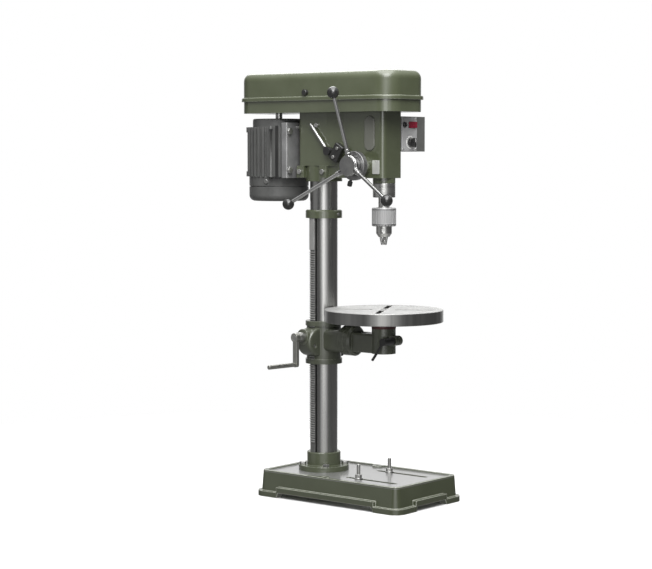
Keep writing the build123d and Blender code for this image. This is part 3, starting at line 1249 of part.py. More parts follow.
FAN_SCREW_R = 5.5
FAN_SCREW_TURN = math.radians(16.0)
FAN_SCREW_DIR = (-math.cos(FAN_SCREW_TURN), -math.sin(FAN_SCREW_TURN), 0)
fan_screw_at = Vector(0, MOTOR_Y, FRAME_LOW - 13) + (FAN_R + SEAT) * Vector(FAN_SCREW_DIR)
fan_screw_plane = Plane(origin=fan_screw_at, z_dir=FAN_SCREW_DIR)
with BuildPart() as motor_bolts:
    for side in (-1, 1):
        for height in MOTOR_BOLT_Z:
            with Locations((side * LUG_X, COLUMN_Y + BRACKET_F - SEAT, height)):
                Cylinder(MOTOR_BOLT_R, LUG_L - 4, rotation=(-90, 0, 0), align=UP)
            with BuildSketch(front_section(-BRACKET_F + 2 * SEAT)):
                with Locations((side * LUG_X, height)):
                    RegularPolygon(HEX_R, 6)
            extrude(amount=HEX_H)
    with BuildSketch(fan_screw_plane):
        Circle(FAN_SCREW_R)
    extrude(amount=4)
save(motor_bolts, "motor_bolts")

# Belt tray, lid with bead, hinge pins and latch knob
TRAY_TOP = 1072.0
SHEET = 3.0
COVER_R = 50.0
BEAD_OUT = 6.0
BEAD_LOW = 1068.0
BEAD_TOP = 1078.0
LID_ROUND = 22.0
HINGE_X = 97.0
HINGE_Z = 1062.0
KNUCKLE_R = 5.0
KNUCKLE_L = 22.0
HINGE_PIN_R = 2.5
HINGE_Y = 150.0
with BuildPart() as belt_tray:
    with BuildSketch(Plane.XY.offset(HEAD_TOP + SEAT)):
        with Locations((0, COVER_Y)):
            RectangleRounded(COVER_W, COVER_L, COVER_R)
    extrude(amount=TRAY_TOP - HEAD_TOP - SEAT)
    with BuildSketch(Plane.XY.offset(HEAD_TOP + SHEET)):
        with Locations((0, COVER_Y)):
            RectangleRounded(COVER_W - 2 * SHEET, COVER_L - 2 * SHEET, COVER_R - SHEET)
    extrude(amount=LID_TOP, mode=Mode.SUBTRACT)
    with BuildSketch(Plane.XY.offset(HEAD_TOP)):
        with Locations((0, SPINDLE_Y)):
            Circle(SLEEVE_OUT + 12)
        with Locations((0, MOTOR_Y)):
            SlotOverall(66, 34, rotation=90)
    extrude(amount=SHEET + 1, mode=Mode.SUBTRACT)
    for side in (-1, 1):
        with Locations((COVER_W / 2 - 1, COVER_Y + side * HINGE_Y, HINGE_Z)):
            Box(HINGE_X - COVER_W / 2 + 1, KNUCKLE_L, 6, align=(Align.MIN, Align.CENTER, Align.CENTER))
        with Locations((HINGE_X, COVER_Y + side * HINGE_Y, HINGE_Z)):
            Cylinder(KNUCKLE_R, KNUCKLE_L, rotation=ALONG_Y)
            Cylinder(HINGE_PIN_R, KNUCKLE_L + KNUCKLE_L + 2, rotation=ALONG_Y)
save(belt_tray, "belt_tray")

with BuildPart() as lid_hollow:
    with BuildSketch(Plane.XY.offset(BEAD_LOW)):
        with Locations((0, COVER_Y)):
            RectangleRounded(COVER_W - 2 * SHEET, COVER_L - 2 * SHEET, COVER_R - SHEET)
    extrude(amount=LID_TOP - SHEET - BEAD_LOW)
    fillet(lid_hollow.edges().group_by(Axis.Z)[-1], LID_ROUND - SHEET)

with BuildPart() as belt_lid:
    with BuildSketch(Plane.XY.offset(TRAY_TOP + GAP)):
        with Locations((0, COVER_Y)):
            RectangleRounded(COVER_W, COVER_L, COVER_R)
    extrude(amount=LID_TOP - TRAY_TOP - GAP)
    fillet(belt_lid.edges().group_by(Axis.Z)[-1], LID_ROUND)
    with BuildSketch(Plane.XY.offset(BEAD_LOW)):
        with Locations((0, COVER_Y)):
            RectangleRounded(COVER_W + 2 * BEAD_OUT, COVER_L + 2 * BEAD_OUT, COVER_R + BEAD_OUT)
    extrude(amount=BEAD_TOP - BEAD_LOW)
    fillet(belt_lid.edges().filter_by_position(Axis.Z, BEAD_TOP - 1, BEAD_TOP + 1)[0:8], 3)
    with BuildSketch(Plane.XY.offset(BEAD_LOW)):
        with Locations((0, COVER_Y)):
            RectangleRounded(COVER_W + 4 * GAP, COVER_L + 4 * GAP, COVER_R + 2 * GAP)
    extrude(amount=TRAY_TOP + GAP - BEAD_LOW, mode=Mode.SUBTRACT)
    add(lid_hollow.part, mode=Mode.SUBTRACT)
    for side in (-1, 1):
        for end in (-1, 1):
            knuckle_y = COVER_Y + side * HINGE_Y + end * (KNUCKLE_L * 0.75 + GAP)
            with Locations((COVER_W / 2 + BEAD_OUT - 1, knuckle_y, HINGE_Z)):
                Box(HINGE_X - COVER_W / 2 - BEAD_OUT + 3, KNUCKLE_L / 2, BEAD_TOP - HINGE_Z - 3,
                    align=(Align.MIN, Align.CENTER, Align.MIN))
            with Locations((HINGE_X, knuckle_y, HINGE_Z)):
                Cylinder(KNUCKLE_R, KNUCKLE_L / 2, rotation=ALONG_Y)
                Cylinder(HINGE_PIN_R + RUN, KNUCKLE_L, rotation=ALONG_Y, mode=Mode.SUBTRACT)
save(belt_lid, "belt_lid")

LATCH_F = 8.0
LATCH_Z = 1089.0
LATCH_R = 8.0
with BuildPart() as lid_latch:
    with Locations((-COVER_W / 2 - GAP, COLUMN_Y - LATCH_F, LATCH_Z)):
        Cylinder(LATCH_R, 10, rotation=(0, -90, 0), align=UP)
    fillet(lid_latch.faces().sort_by(Axis.X)[0].edges(), 2)
save(lid_latch, "lid_latch")

# Switch box on the far side with panel, rocker, push button and selector
SWITCH_IN = 42.0
SWITCH_OUT = 152.0
SWITCH_LOW = 932.0
SWITCH_TOP = 1025.0
SWITCH_F = 229.0
SWITCH_DEEP = 80.0
PANEL_OUT = 111.0
PANEL_T = 2.5
ROCKER_X = 89.0
ROCKER_Z = 1003.0
ROCKER_W = 31.0
ROCKER_H = 16.0
BUTTON_X = 54.0
BUTTON_R = 7.0
SELECT_X = 80.0
SELECT_Z = 956.0
SELECT_R = 11.0
PANEL_MID = (SWITCH_IN + PANEL_OUT) / 2
with BuildPart() as switch_box:
    with Locations((SWITCH_IN + SEAT, COLUMN_Y - SWITCH_F, SWITCH_LOW)):
        Box(SWITCH_OUT - SWITCH_IN, SWITCH_DEEP, SWITCH_TOP - SWITCH_LOW,
            align=(Align.MIN, Align.MIN, Align.MIN))
    fillet(switch_box.edges().filter_by(Axis.Z).group_by(Axis.X)[-1], 5)
    with Locations((ROCKER_X, COLUMN_Y - SWITCH_F, ROCKER_Z)):
        Box(ROCKER_W + 2, 30, ROCKER_H + 2, mode=Mode.SUBTRACT)
    with Locations((BUTTON_X, COLUMN_Y - SWITCH_F, ROCKER_Z)):
        Cylinder(BUTTON_R + 1, 30, rotation=ALONG_Y, mode=Mode.SUBTRACT)
    with Locations((SELECT_X, COLUMN_Y - SWITCH_F, SELECT_Z)):
        Cylinder(SET_R + RUN, 30, rotation=ALONG_Y, mode=Mode.SUBTRACT)
save(switch_box, "switch_box")

with BuildPart() as switch_panel:
    with Locations((PANEL_MID, COLUMN_Y - SWITCH_F - SEAT, (SWITCH_LOW + SWITCH_TOP) / 2)):
        Box(PANEL_OUT - SWITCH_IN - 3, PANEL_T, SWITCH_TOP - SWITCH_LOW - 4,
            align=(Align.CENTER, Align.MAX, Align.CENTER))
    with Locations((ROCKER_X, COLUMN_Y - SWITCH_F, ROCKER_Z)):
        Box(ROCKER_W + 2, 30, ROCKER_H + 1, mode=Mode.SUBTRACT)
    with Locations((BUTTON_X, COLUMN_Y - SWITCH_F, ROCKER_Z)):
        Cylinder(BUTTON_R + GAP, 30, rotation=ALONG_Y, mode=Mode.SUBTRACT)
    with Locations((SELECT_X, COLUMN_Y - SWITCH_F, SELECT_Z)):
        Cylinder(SET_R + GAP, 30, rotation=ALONG_Y, mode=Mode.SUBTRACT)
save(switch_panel, "switch_panel")

ROCKER_PIVOT = COLUMN_Y - SWITCH_F + 2
ROCKER_PIN_R = 4.0
with BuildPart() as rocker:
    with BuildSketch(Plane.XY.offset(ROCKER_Z - ROCKER_H / 2)):
        with BuildLine():
            Polyline(
                (ROCKER_X - ROCKER_W / 2 + 1, ROCKER_PIVOT - 6),
                (ROCKER_X, ROCKER_PIVOT - 8),
                (ROCKER_X + ROCKER_W / 2 - 1, ROCKER_PIVOT - 10),
                (ROCKER_X + ROCKER_W / 2 - 2, ROCKER_PIVOT),
                (ROCKER_X - ROCKER_W / 2 + 2, ROCKER_PIVOT),
                close=True,
            )
        make_face()
    extrude(amount=ROCKER_H)
    with Locations((ROCKER_X, ROCKER_PIVOT, ROCKER_Z)):
        Cylinder(ROCKER_PIN_R, ROCKER_H)
save(rocker, "rocker")

with BuildPart() as push_button:
    with Locations((BUTTON_X, COLUMN_Y - SWITCH_F + 8, ROCKER_Z)):
        Cylinder(BUTTON_R, 16, rotation=ALONG_Y, align=UP)
    fillet(push_button.faces().sort_by(Axis.Y)[0].edges(), 2)
save(push_button, "push_button")

with BuildPart() as selector_knob:
    with Locations((SELECT_X, COLUMN_Y - SWITCH_F - PANEL_T - 2 * GAP, SELECT_Z)):
        Cylinder(SELECT_R, 9, rotation=ALONG_Y, align=UP)
        Cylinder(SET_R, 14, rotation=(-90, 0, 0), align=UP)
    with Locations((SELECT_X, COLUMN_Y - SWITCH_F - PANEL_T - 9, SELECT_Z)):
        Box(8, 9, 2 * SELECT_R + 2, align=(Align.CENTER, Align.MAX, Align.CENTER))
save(selector_knob, "selector_knob")
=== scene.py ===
import json
import math
import bpy
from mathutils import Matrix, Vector


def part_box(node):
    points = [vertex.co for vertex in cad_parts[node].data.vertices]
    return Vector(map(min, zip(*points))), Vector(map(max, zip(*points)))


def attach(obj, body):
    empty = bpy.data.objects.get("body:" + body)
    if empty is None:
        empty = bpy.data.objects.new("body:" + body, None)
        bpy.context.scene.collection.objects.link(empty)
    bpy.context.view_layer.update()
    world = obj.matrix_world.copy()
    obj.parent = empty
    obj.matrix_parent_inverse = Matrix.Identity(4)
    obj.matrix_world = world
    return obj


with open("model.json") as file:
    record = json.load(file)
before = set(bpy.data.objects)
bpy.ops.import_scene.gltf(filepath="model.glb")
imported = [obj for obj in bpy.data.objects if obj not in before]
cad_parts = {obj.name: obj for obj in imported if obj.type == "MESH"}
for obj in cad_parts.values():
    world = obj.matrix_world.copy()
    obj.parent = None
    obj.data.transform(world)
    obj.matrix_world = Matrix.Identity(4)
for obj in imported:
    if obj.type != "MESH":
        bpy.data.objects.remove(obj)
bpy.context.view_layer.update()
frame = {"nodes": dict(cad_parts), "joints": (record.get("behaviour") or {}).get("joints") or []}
nodes = frame["nodes"]

# Camera values, fitted to the photograph: place in metres, heading and downward pitch in degrees
CAMERA_AT = (-3.9537, -3.2380, 0.9238)
CAMERA_YAW = 39.2523
CAMERA_PITCH = 3.9443
CAMERA_LENS = 103.97
SENSOR = 36.0

# Small sizes in metres, and steps round the turned pieces
MM = 0.001
PROUD = 0.15 * MM
ROUND_STEPS = 48
SCREW_STEPS = 20
RIVET_STEPS = 16
ROD_STEPS = 16


def middle(node):
    """Centre of a CAD node's box."""
    low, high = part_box(node)
    return (Vector(low) + Vector(high)) / 2


def low_of(node):
    """Lowest corner of a CAD node's box."""
    return Vector(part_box(node)[0])


def high_of(node):
    """Highest corner of a CAD node's box."""
    return Vector(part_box(node)[1])


def joint_at(name):
    """Where a joint sits at rest."""
    return Vector(next(joint["pos_m"] for joint in frame["joints"] if joint["name"] == name))


# Shader helpers
def put(tree, kind, inputs=None, **settings):
    """Add a shader node, set its properties, and fill or link its inputs."""
    node = tree.nodes.new(kind)
    for key, value in settings.items():
        setattr(node, key, value)
    for key, value in (inputs or {}).items():
        if isinstance(value, bpy.types.NodeSocket):
            tree.links.new(value, node.inputs[key])
        else:
            node.inputs[key].default_value = value
    return node


def place(tree, stretch=(1, 1, 1), centre=(0, 0, 0)):
    """Place on the piece in metres, moved to a centre and stretched."""
    where = put(tree, "ShaderNodeTexCoord").outputs["Object"]
    moved = put(tree, "ShaderNodeVectorMath", {0: where, 1: centre}, operation="SUBTRACT").outputs[0]
    return put(tree, "ShaderNodeVectorMath", {0: moved, 1: stretch}, operation="MULTIPLY").outputs[0]


def grain(tree, scale, stretch=(1, 1, 1), detail=5.0):
    """Noise from 0 to 1 at so many bumps to the metre."""
    spot = place(tree, stretch)
    return put(
        tree, "ShaderNodeTexNoise", {"Vector": spot, "Scale": scale, "Detail": detail, "Roughness": 0.6}
    ).outputs["Fac"]


def ramp(tree, value, low, high, start=0.0, end=1.0):
    """Map a value between two limits, held at its ends."""
    return put(
        tree,
        "ShaderNodeMapRange",
        {"Value": value, "From Min": low, "From Max": high, "To Min": start, "To Max": end},
        clamp=True,
    ).outputs["Result"]


# Places of the colour sockets on Blender's mix node
COLOUR_A = 6
COLOUR_B = 7
COLOUR_OUT = 2


def mix(tree, factor, first, second):
    """Blend two colours by a factor."""
    node = put(tree, "ShaderNodeMix", {"Factor": factor}, data_type="RGBA")
    for key, value in ((COLOUR_A, first), (COLOUR_B, second)):
        if isinstance(value, bpy.types.NodeSocket):
            tree.links.new(value, node.inputs[key])
        else:
            node.inputs[key].default_value = (*value, 1.0)
    return node.outputs[COLOUR_OUT]


def blend(tree, factor, first, second):
    """Blend two plain values by a factor."""
    return put(tree, "ShaderNodeMix", {"Factor": factor, "A": first, "B": second}).outputs["Result"]


def math_node(tree, operation, first, second):
    """One step of arithmetic on two values."""
    return put(tree, "ShaderNodeMath", {0: first, 1: second}, operation=operation).outputs[0]


def dot(tree, first, second):
    """How far one vector runs along another."""
    node = put(tree, "ShaderNodeVectorMath", {0: first, 1: second}, operation="DOT_PRODUCT")
    return node.outputs["Value"]


def length_of(tree, vector):
    """Length of a vector."""
    return put(tree, "ShaderNodeVectorMath", {0: vector}, operation="LENGTH").outputs["Value"]


def level(tree):
    """Height on the piece, in metres."""
    return put(tree, "ShaderNodeSeparateXYZ", {0: place(tree)}).outputs["Z"]


def off_level(tree, height):
    """Distance above or below a height."""
    apart = math_node(tree, "SUBTRACT", level(tree), height)
    return put(tree, "ShaderNodeMath", {0: apart}, operation="ABSOLUTE").outputs[0]


def shade(colour, share):
    """A colour made darker or lighter, and no brighter than white."""
    return tuple(min(1.0, share * value) for value in colour)


# Likeness of the rounded and the true normal away from an edge, and on it
EDGE_FAR = 0.995
EDGE_NEAR = 0.82
BEVEL_SAMPLES = 6


def edge_mask(tree, radius):
    """Rounded normal near sharp edges, and how near an edge is, from 0 to 1."""
    soft = put(tree, "ShaderNodeBevel", {"Radius": radius}, samples=BEVEL_SAMPLES).outputs["Normal"]
    true = put(tree, "ShaderNodeNewGeometry").outputs["Normal"]
    return soft, ramp(tree, dot(tree, soft, true), EDGE_FAR, EDGE_NEAR)


# Shares of the base colour in dark specks and on the lighter edges (rubbed wear and painted highlight), and
# the depth of fine relief
SPECK_SHADE = 0.8
EDGE_WEAR_AND_HIGHLIGHT = 2.2
RELIEF = 0.3 * MM


def surface(name, dark, light, patch, rough, metal=0.0, bump=0.08, fine=900.0, stretch=(1, 1, 1),
            edge=None, edge_size=1.2 * MM, edge_amount=0.5, coat=0.0, coat_ior=1.5, coat_rough=0.12,
            rings=None, extra=None):
    """A worn surface: blotched colour, uneven gloss, fine relief, and lighter edges of rubbed wear and
    painted highlight.
    """
    material = bpy.data.materials.new(name)
    material.use_nodes = True
    tree = material.node_tree
    skin = tree.nodes["Principled BSDF"]
    blotch = grain(tree, patch, stretch)
    speck = grain(tree, fine, stretch, detail=3.0)
    colour = mix(tree, ramp(tree, blotch, 0.3, 0.7), dark, light)
    speck_dark = shade(dark, SPECK_SHADE)
    colour = mix(tree, ramp(tree, speck, 0.55, 0.8, 0.0, 0.35), colour, speck_dark)
    soft, near_edge = edge_mask(tree, edge_size)
    uneven = ramp(tree, speck, 0.3, 0.6, 0.4 * edge_amount, edge_amount)
    # Edges made lighter: partly rubbed wear, partly painted highlight
    worn_and_highlit = math_node(tree, "MULTIPLY", near_edge, uneven)
    colour = mix(tree, worn_and_highlit, colour, edge or shade(light, EDGE_WEAR_AND_HIGHLIGHT))
    gloss = ramp(tree, blotch, 0.25, 0.75, rough[0], rough[1])
    height = speck
    if rings is not None:
        centre, scale = rings
        away = length_of(tree, place(tree, (1, 1, 0), centre))
        turned = put(
            tree, "ShaderNodeTexNoise", {"W": away, "Scale": scale, "Detail": 2.0}, noise_dimensions="1D"
        ).outputs["Fac"]
        height = math_node(tree, "ADD", speck, turned)
        colour = mix(tree, ramp(tree, turned, 0.3, 0.7, 0.0, 0.25), colour, speck_dark)
    relief = put(
        tree, "ShaderNodeBump", {"Height": height, "Strength": bump, "Distance": RELIEF, "Normal": soft}
    ).outputs["Normal"]
    if extra is not None:
        colour, gloss, metal = extra(tree, colour, gloss, metal)
    wired = {"Base Color": colour, "Roughness": gloss, "Metallic": metal, "Normal": relief}
    for key, value in wired.items():
        if isinstance(value, bpy.types.NodeSocket):
            tree.links.new(value, skin.inputs[key])
        else:
            skin.inputs[key].default_value = value
    skin.inputs["Coat Weight"].default_value = coat
    skin.inputs["Coat Roughness"].default_value = coat_rough
    skin.inputs["Coat IOR"].default_value = coat_ior
    return material


# Base: the faced floor inside the rim
PAN_DEPTH = 4 * MM
PAN_Z = high_of("base").z - PAN_DEPTH
MACHINED = (0.25, 0.25, 0.245)
STREAK_SHADE = 0.72
FACED_METAL = 0.3
FACED_GLOSS = 0.4
FACED_IN = 0.4 * MM
FACED_OUT = 0.6 * MM


def machined_floor(tree, colour, gloss, metal):
    """Bare ground iron where the base floor is faced, paint elsewhere."""
    bare = ramp(tree, off_level(tree, PAN_Z), FACED_OUT, FACED_IN)
    streak = grain(tree, 260.0, (1, 0.06, 1))
    iron = mix(tree, streak, MACHINED, shade(MACHINED, STREAK_SHADE))
    faced = blend(tree, bare, gloss, FACED_GLOSS)
    return mix(tree, bare, colour, iron), faced, ramp(tree, bare, 0.0, 1.0, metal, FACED_METAL)


# Table: the ground top and the turned rim
SPINDLE = middle("chuck_sleeve")
TABLE_TOP = high_of("table").z
TOP_IN = 0.2 * MM
TOP_OUT = 0.6 * MM
RIM_DARK = (0.22, 0.22, 0.215)
RIM_LIGHT = (0.30, 0.30, 0.29)
RIM_GLOSS = 0.3
RIM_METAL = 0.95


def dark_rim(tree, colour, gloss, metal):
    """Pale ground top, darker turned rim and underside with upright tool marks."""
    top = ramp(tree, level(tree), TABLE_TOP - TOP_OUT, TABLE_TOP - TOP_IN)
    streak = grain(tree, 70.0, (1, 1, 0.02))
    rim = mix(tree, ramp(tree, streak, 0.35, 0.65), RIM_DARK, RIM_LIGHT)
    turned = blend(tree, top, RIM_GLOSS, gloss)
    return mix(tree, top, rim, colour), turned, ramp(tree, top, 0.0, 1.0, RIM_METAL, metal)


# Rack: the way its teeth point, how deep they are, and the painted shade in the gaps
RACK_LEAN = math.radians(5.5)
RACK_OUT = Vector((-math.cos(RACK_LEAN), math.sin(RACK_LEAN), 0))
RACK_TIP = max(vertex.co.dot(RACK_OUT) for vertex in nodes["lift_rack"].data.vertices)
TOOTH_DEPTH = 6.0 * MM
TIP_BAND = 0.3 * MM
GAP_SHADE = (0.022, 0.022, 0.021)


def greased_teeth(tree, colour, gloss, metal):
    """Painted shade darkening the gaps between the teeth; the tips keep the rack's own colour."""
    out = dot(tree, place(tree), RACK_OUT)
    tip = ramp(tree, out, RACK_TIP - TOOTH_DEPTH, RACK_TIP - TIP_BAND)
    return mix(tree, tip, GAP_SHADE, colour), gloss, metal


# Chuck sleeve: painted shade of a groove near each end
SLEEVE_LOW = low_of("chuck_sleeve").z
SLEEVE_HIGH = high_of("chuck_sleeve").z
GROOVE_IN = 5.0 * MM
GROOVE_HALF = 0.9 * MM
GROOVE_CORE = 0.6 * GROOVE_HALF
GROOVE_SHADE = (0.05, 0.05, 0.05)


def grooved(tree, colour, gloss, metal):
    """Painted shade in thin dark lines where turned grooves sit near both ends of the knurled sleeve."""
    lower = ramp(tree, off_level(tree, SLEEVE_LOW + GROOVE_IN), GROOVE_HALF, GROOVE_CORE)
    upper = ramp(tree, off_level(tree, SLEEVE_HIGH - GROOVE_IN), GROOVE_HALF, GROOVE_CORE)
    groove = math_node(tree, "MAXIMUM", lower, upper)
    return mix(tree, groove, colour, GROOVE_SHADE), gloss, metal


# Tension lever: its black hub
TENSION = joint_at("tension_turn")
TENSION_HUB = 15.0 * MM
HUB_EDGE = 0.5 * MM
HUB_BLACK = (0.018, 0.018, 0.018)


def black_hub(tree, colour, gloss, metal):
    """Black enamel on the lever's hub, bright rod elsewhere."""
    away = length_of(tree, place(tree, (0, 1, 1), TENSION))
    rod = ramp(tree, away, TENSION_HUB, TENSION_HUB + HUB_EDGE)
    return mix(tree, rod, HUB_BLACK, colour), gloss, math_node(tree, "MULTIPLY", rod, metal)


# Materials
OLIVE = (0.058, 0.068, 0.036)
OLIVE_LIGHT = (0.071, 0.082, 0.047)
# Pale edge colours: painted highlights on the paint's edges, the lid's bead and the base's rim
OLIVE_EDGE_HIGHLIGHT = (0.24, 0.26, 0.19)
RIM_EDGE_HIGHLIGHT = (0.75, 0.77, 0.68)
# The base's olive: the same paint made darker, as painted shade
SHADED_BASE_OLIVE = (0.040, 0.048, 0.022)
SHADED_BASE_LIGHT = (0.050, 0.059, 0.030)
olive = surface(
    "olive_enamel", OLIVE, OLIVE_LIGHT, patch=14.0, rough=(0.34, 0.46),
    edge=OLIVE_EDGE_HIGHLIGHT, coat=0.5, coat_ior=2.1,
)
lid_olive = surface(
    "lid_enamel", OLIVE, OLIVE_LIGHT, patch=14.0, rough=(0.34, 0.46),
    edge=RIM_EDGE_HIGHLIGHT, edge_size=2 * MM, edge_amount=0.8, coat=0.5, coat_ior=1.6, coat_rough=0.25,
)
cover_olive = surface(
    "cover_enamel", (0.105, 0.108, 0.092), (0.125, 0.128, 0.110), patch=20.0, rough=(0.34, 0.46),
    coat=0.3,
)
shaded_olive_base = surface(
    "olive_enamel_base_shaded", SHADED_BASE_OLIVE, SHADED_BASE_LIGHT, patch=12.0, rough=(0.45, 0.6),
    edge=RIM_EDGE_HIGHLIGHT, edge_size=3 * MM, edge_amount=0.95, coat=0.6, coat_ior=2.0, extra=machined_floor,
)
# Its lighter edge colour is a painted highlight on the casting's edges
casting = surface(
    "bracket_enamel", (0.054, 0.060, 0.040), (0.072, 0.079, 0.055), patch=20.0, rough=(0.36, 0.5),
    bump=0.2, fine=500.0, edge=(0.32, 0.34, 0.27), edge_size=2 * MM, edge_amount=0.7, coat=0.4,
    coat_ior=1.8,
)
charcoal = surface(
    "charcoal_enamel", (0.070, 0.071, 0.069), (0.092, 0.093, 0.090), patch=18.0, rough=(0.38, 0.5),
    bump=0.15, fine=600.0,
)
# Black enamel, also used for flat sheets of painted shade beside the motor's tie rods
black_enamel_and_shade = surface(
    "black_enamel_and_shade_sheets", (0.014, 0.014, 0.014), (0.024, 0.024, 0.023), patch=25.0, rough=(0.3, 0.45),
)
black_plastic = surface(
    "black_phenolic", (0.012, 0.012, 0.012), (0.020, 0.020, 0.019), patch=40.0, rough=(0.18, 0.3),
    coat=0.3,
)
red_plastic = surface(
    "red_plastic", (0.20, 0.014, 0.030), (0.28, 0.018, 0.042), patch=60.0, rough=(0.2, 0.32),
)
column_steel = surface(
    "column_steel", (0.36, 0.36, 0.35), (0.50, 0.50, 0.49), patch=30.0, rough=(0.2, 0.34),
    metal=1.0, bump=0.05, fine=420.0, stretch=(1, 1, 0.03),
)
turned_steel = surface(
    "turned_steel", (0.46, 0.46, 0.45), (0.60, 0.60, 0.58), patch=60.0, rough=(0.22, 0.34),
    metal=1.0, bump=0.06, fine=700.0, stretch=(0.05, 0.05, 1),
)
plain_steel = surface(
    "plain_steel", (0.38, 0.38, 0.37), (0.54, 0.54, 0.52), patch=70.0, rough=(0.3, 0.45),
    metal=1.0, bump=0.08, fine=1100.0,
)
dark_steel = surface(
    "oiled_steel", (0.30, 0.30, 0.29), (0.42, 0.42, 0.41), patch=60.0, rough=(0.32, 0.46),
    metal=0.8, bump=0.12, fine=900.0,
)
rack_steel = surface(
    "rack_steel", (0.34, 0.34, 0.33), (0.46, 0.46, 0.45), patch=60.0, rough=(0.34, 0.46),
    metal=0.6, bump=0.1, fine=900.0, extra=greased_teeth,
)
chrome = surface(
    "bright_plate", (0.50, 0.50, 0.50), (0.60, 0.60, 0.59), patch=40.0, rough=(0.16, 0.26),
    metal=1.0, bump=0.02, fine=1500.0,
)
# Its near-white edge colour is a painted highlight round the hub's rims
hub_chrome = surface(
    "hub_plate", (0.28, 0.28, 0.28), (0.40, 0.40, 0.39), patch=40.0, rough=(0.12, 0.22),
    metal=1.0, bump=0.02, fine=1500.0, edge=(0.85, 0.85, 0.84), edge_size=2.5 * MM, edge_amount=0.95,
)
lever_chrome = surface(
    "lever_plate", (0.60, 0.60, 0.60), (0.70, 0.70, 0.69), patch=40.0, rough=(0.3, 0.4),
    metal=1.0, bump=0.02, fine=1500.0, extra=black_hub,
)
ground_iron = surface(
    "ground_iron", (0.28, 0.28, 0.275), (0.38, 0.38, 0.37), patch=22.0, rough=(0.5, 0.62),
    metal=0.5, bump=0.1, fine=1200.0, rings=(SPINDLE, 1800.0), extra=dark_rim,
)
cast_nickel = surface(
    "cast_nickel", (0.30, 0.30, 0.28), (0.44, 0.44, 0.41), patch=60.0, rough=(0.26, 0.4),
    metal=0.9, bump=0.2, fine=500.0,
)
knurled_steel = surface(
    "knurled_steel", (0.34, 0.34, 0.34), (0.44, 0.44, 0.44), patch=90.0, rough=(0.42, 0.55),
    metal=0.5, bump=0.3, fine=1400.0, stretch=(1, 1, 0.05), extra=grooved,
)
ring_alloy = surface(
    "ring_alloy", (0.20, 0.20, 0.20), (0.28, 0.28, 0.28), patch=60.0, rough=(0.3, 0.42),
    metal=0.8, bump=0.12, fine=800.0,
)
light_alloy = surface(
    "satin_alloy", (0.20, 0.20, 0.20), (0.28, 0.28, 0.28), patch=35.0, rough=(0.35, 0.5),
    metal=0.45, bump=0.12, fine=800.0,
)
belt_rubber = surface(
    "belt_rubber", (0.012, 0.012, 0.012), (0.022, 0.022, 0.022), patch=80.0, rough=(0.6, 0.8),
    bump=0.3,
)
plate_metal = surface(
    "plate_metal", (0.68, 0.69, 0.66), (0.78, 0.79, 0.76), patch=90.0, rough=(0.3, 0.4),
    metal=0.6, bump=0.05, stretch=(1, 0.05, 1),
)
panel_grey = surface(
    "panel_grey", (0.42, 0.42, 0.42), (0.50, 0.50, 0.50), patch=50.0, rough=(0.35, 0.45),
    metal=0.2,
)
box_grey = surface(
    "box_grey", (0.095, 0.097, 0.092), (0.120, 0.122, 0.116), patch=30.0, rough=(0.4, 0.5),
)
ink_white = surface("white_ink", (0.72, 0.72, 0.70), (0.80, 0.80, 0.78), patch=120.0, rough=(0.5, 0.6))
# Black for printed marks, and for flat marks of painted shade in the fan grille
black_print_and_shade = surface(
    "black_ink_and_shade", (0.010, 0.010, 0.010), (0.018, 0.018, 0.018), patch=120.0, rough=(0.5, 0.6),
)
red_band = surface(
    "red_band", (0.050, 0.018, 0.018), (0.072, 0.024, 0.024), patch=90.0, rough=(0.5, 0.65),
)

# Which CAD nodes take which finish
FINISHES = {
    shaded_olive_base: ["base"],
    olive: ["column_flange", "head_casting", "spring_cap", "belt_tray", "rack_collar"],
    lid_olive: ["belt_lid"],
    cover_olive: ["oval_cover"],
    cast_nickel: ["crank_arm", "crank_grip"],
    knurled_steel: ["chuck_sleeve"],
    casting: ["table_bracket", "table_arm"],
    box_grey: ["switch_box"],
    charcoal: ["motor_frame"],
    black_enamel_and_shade: ["clamp_handle", "bracket_lock"],
    black_plastic: [
        "lever_knobs", "depth_knob", "tension_block", "lid_latch", "push_button", "selector_knob",
    ],
    red_plastic: ["rocker"],
    column_steel: ["column"],
    turned_steel: [
        "chuck_body", "chuck_jaw_1", "chuck_jaw_2", "chuck_jaw_3", "quill", "quill_collar", "spindle",
        "drive_sleeve", "motor_rotor", "slide_rods",
    ],
    plain_steel: [
        "clamp_stud_near", "clamp_stud_far", "flange_bolts", "set_screws", "motor_bolts", "tilt_bolt",
        "pinion_shaft", "worm_shaft", "gear_pin", "quill_bearings", "head_bearings", "return_spring",
    ],
    dark_steel: ["lift_gear"],
    rack_steel: ["lift_rack"],
    chrome: ["feed_levers"],
    hub_chrome: ["feed_hub"],
    lever_chrome: ["tension_lever"],
    ground_iron: ["table"],
    ring_alloy: ["depth_ring"],
    light_alloy: ["motor_bracket", "motor_pulley", "spindle_pulley"],
    plate_metal: ["bare_plate"],
    panel_grey: ["switch_panel"],
    belt_rubber: ["drive_belt"],
}
for finish, names in FINISHES.items():
    for name in names:
        mesh = nodes[name].data
        mesh.materials.clear()
        mesh.materials.append(finish)


# Mesh helpers for the added pieces
def build(name, points, faces, finish, body, smooth=False):
    """Make a mesh piece that rides on a body."""
    mesh = bpy.data.meshes.new(name)
    mesh.from_pydata([tuple(point) for point in points], [], faces)
    mesh.materials.append(finish)
    for polygon in mesh.polygons:
        polygon.use_smooth = smooth
    piece = bpy.data.objects.new(name, mesh)
    bpy.context.scene.collection.objects.link(piece)
    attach(piece, body)


def basis(axis):
    """An axis of unit length, and two directions square to it."""
    axis = Vector(axis).normalized()
    first = axis.orthogonal().normalized()
    return axis, first, axis.cross(first)


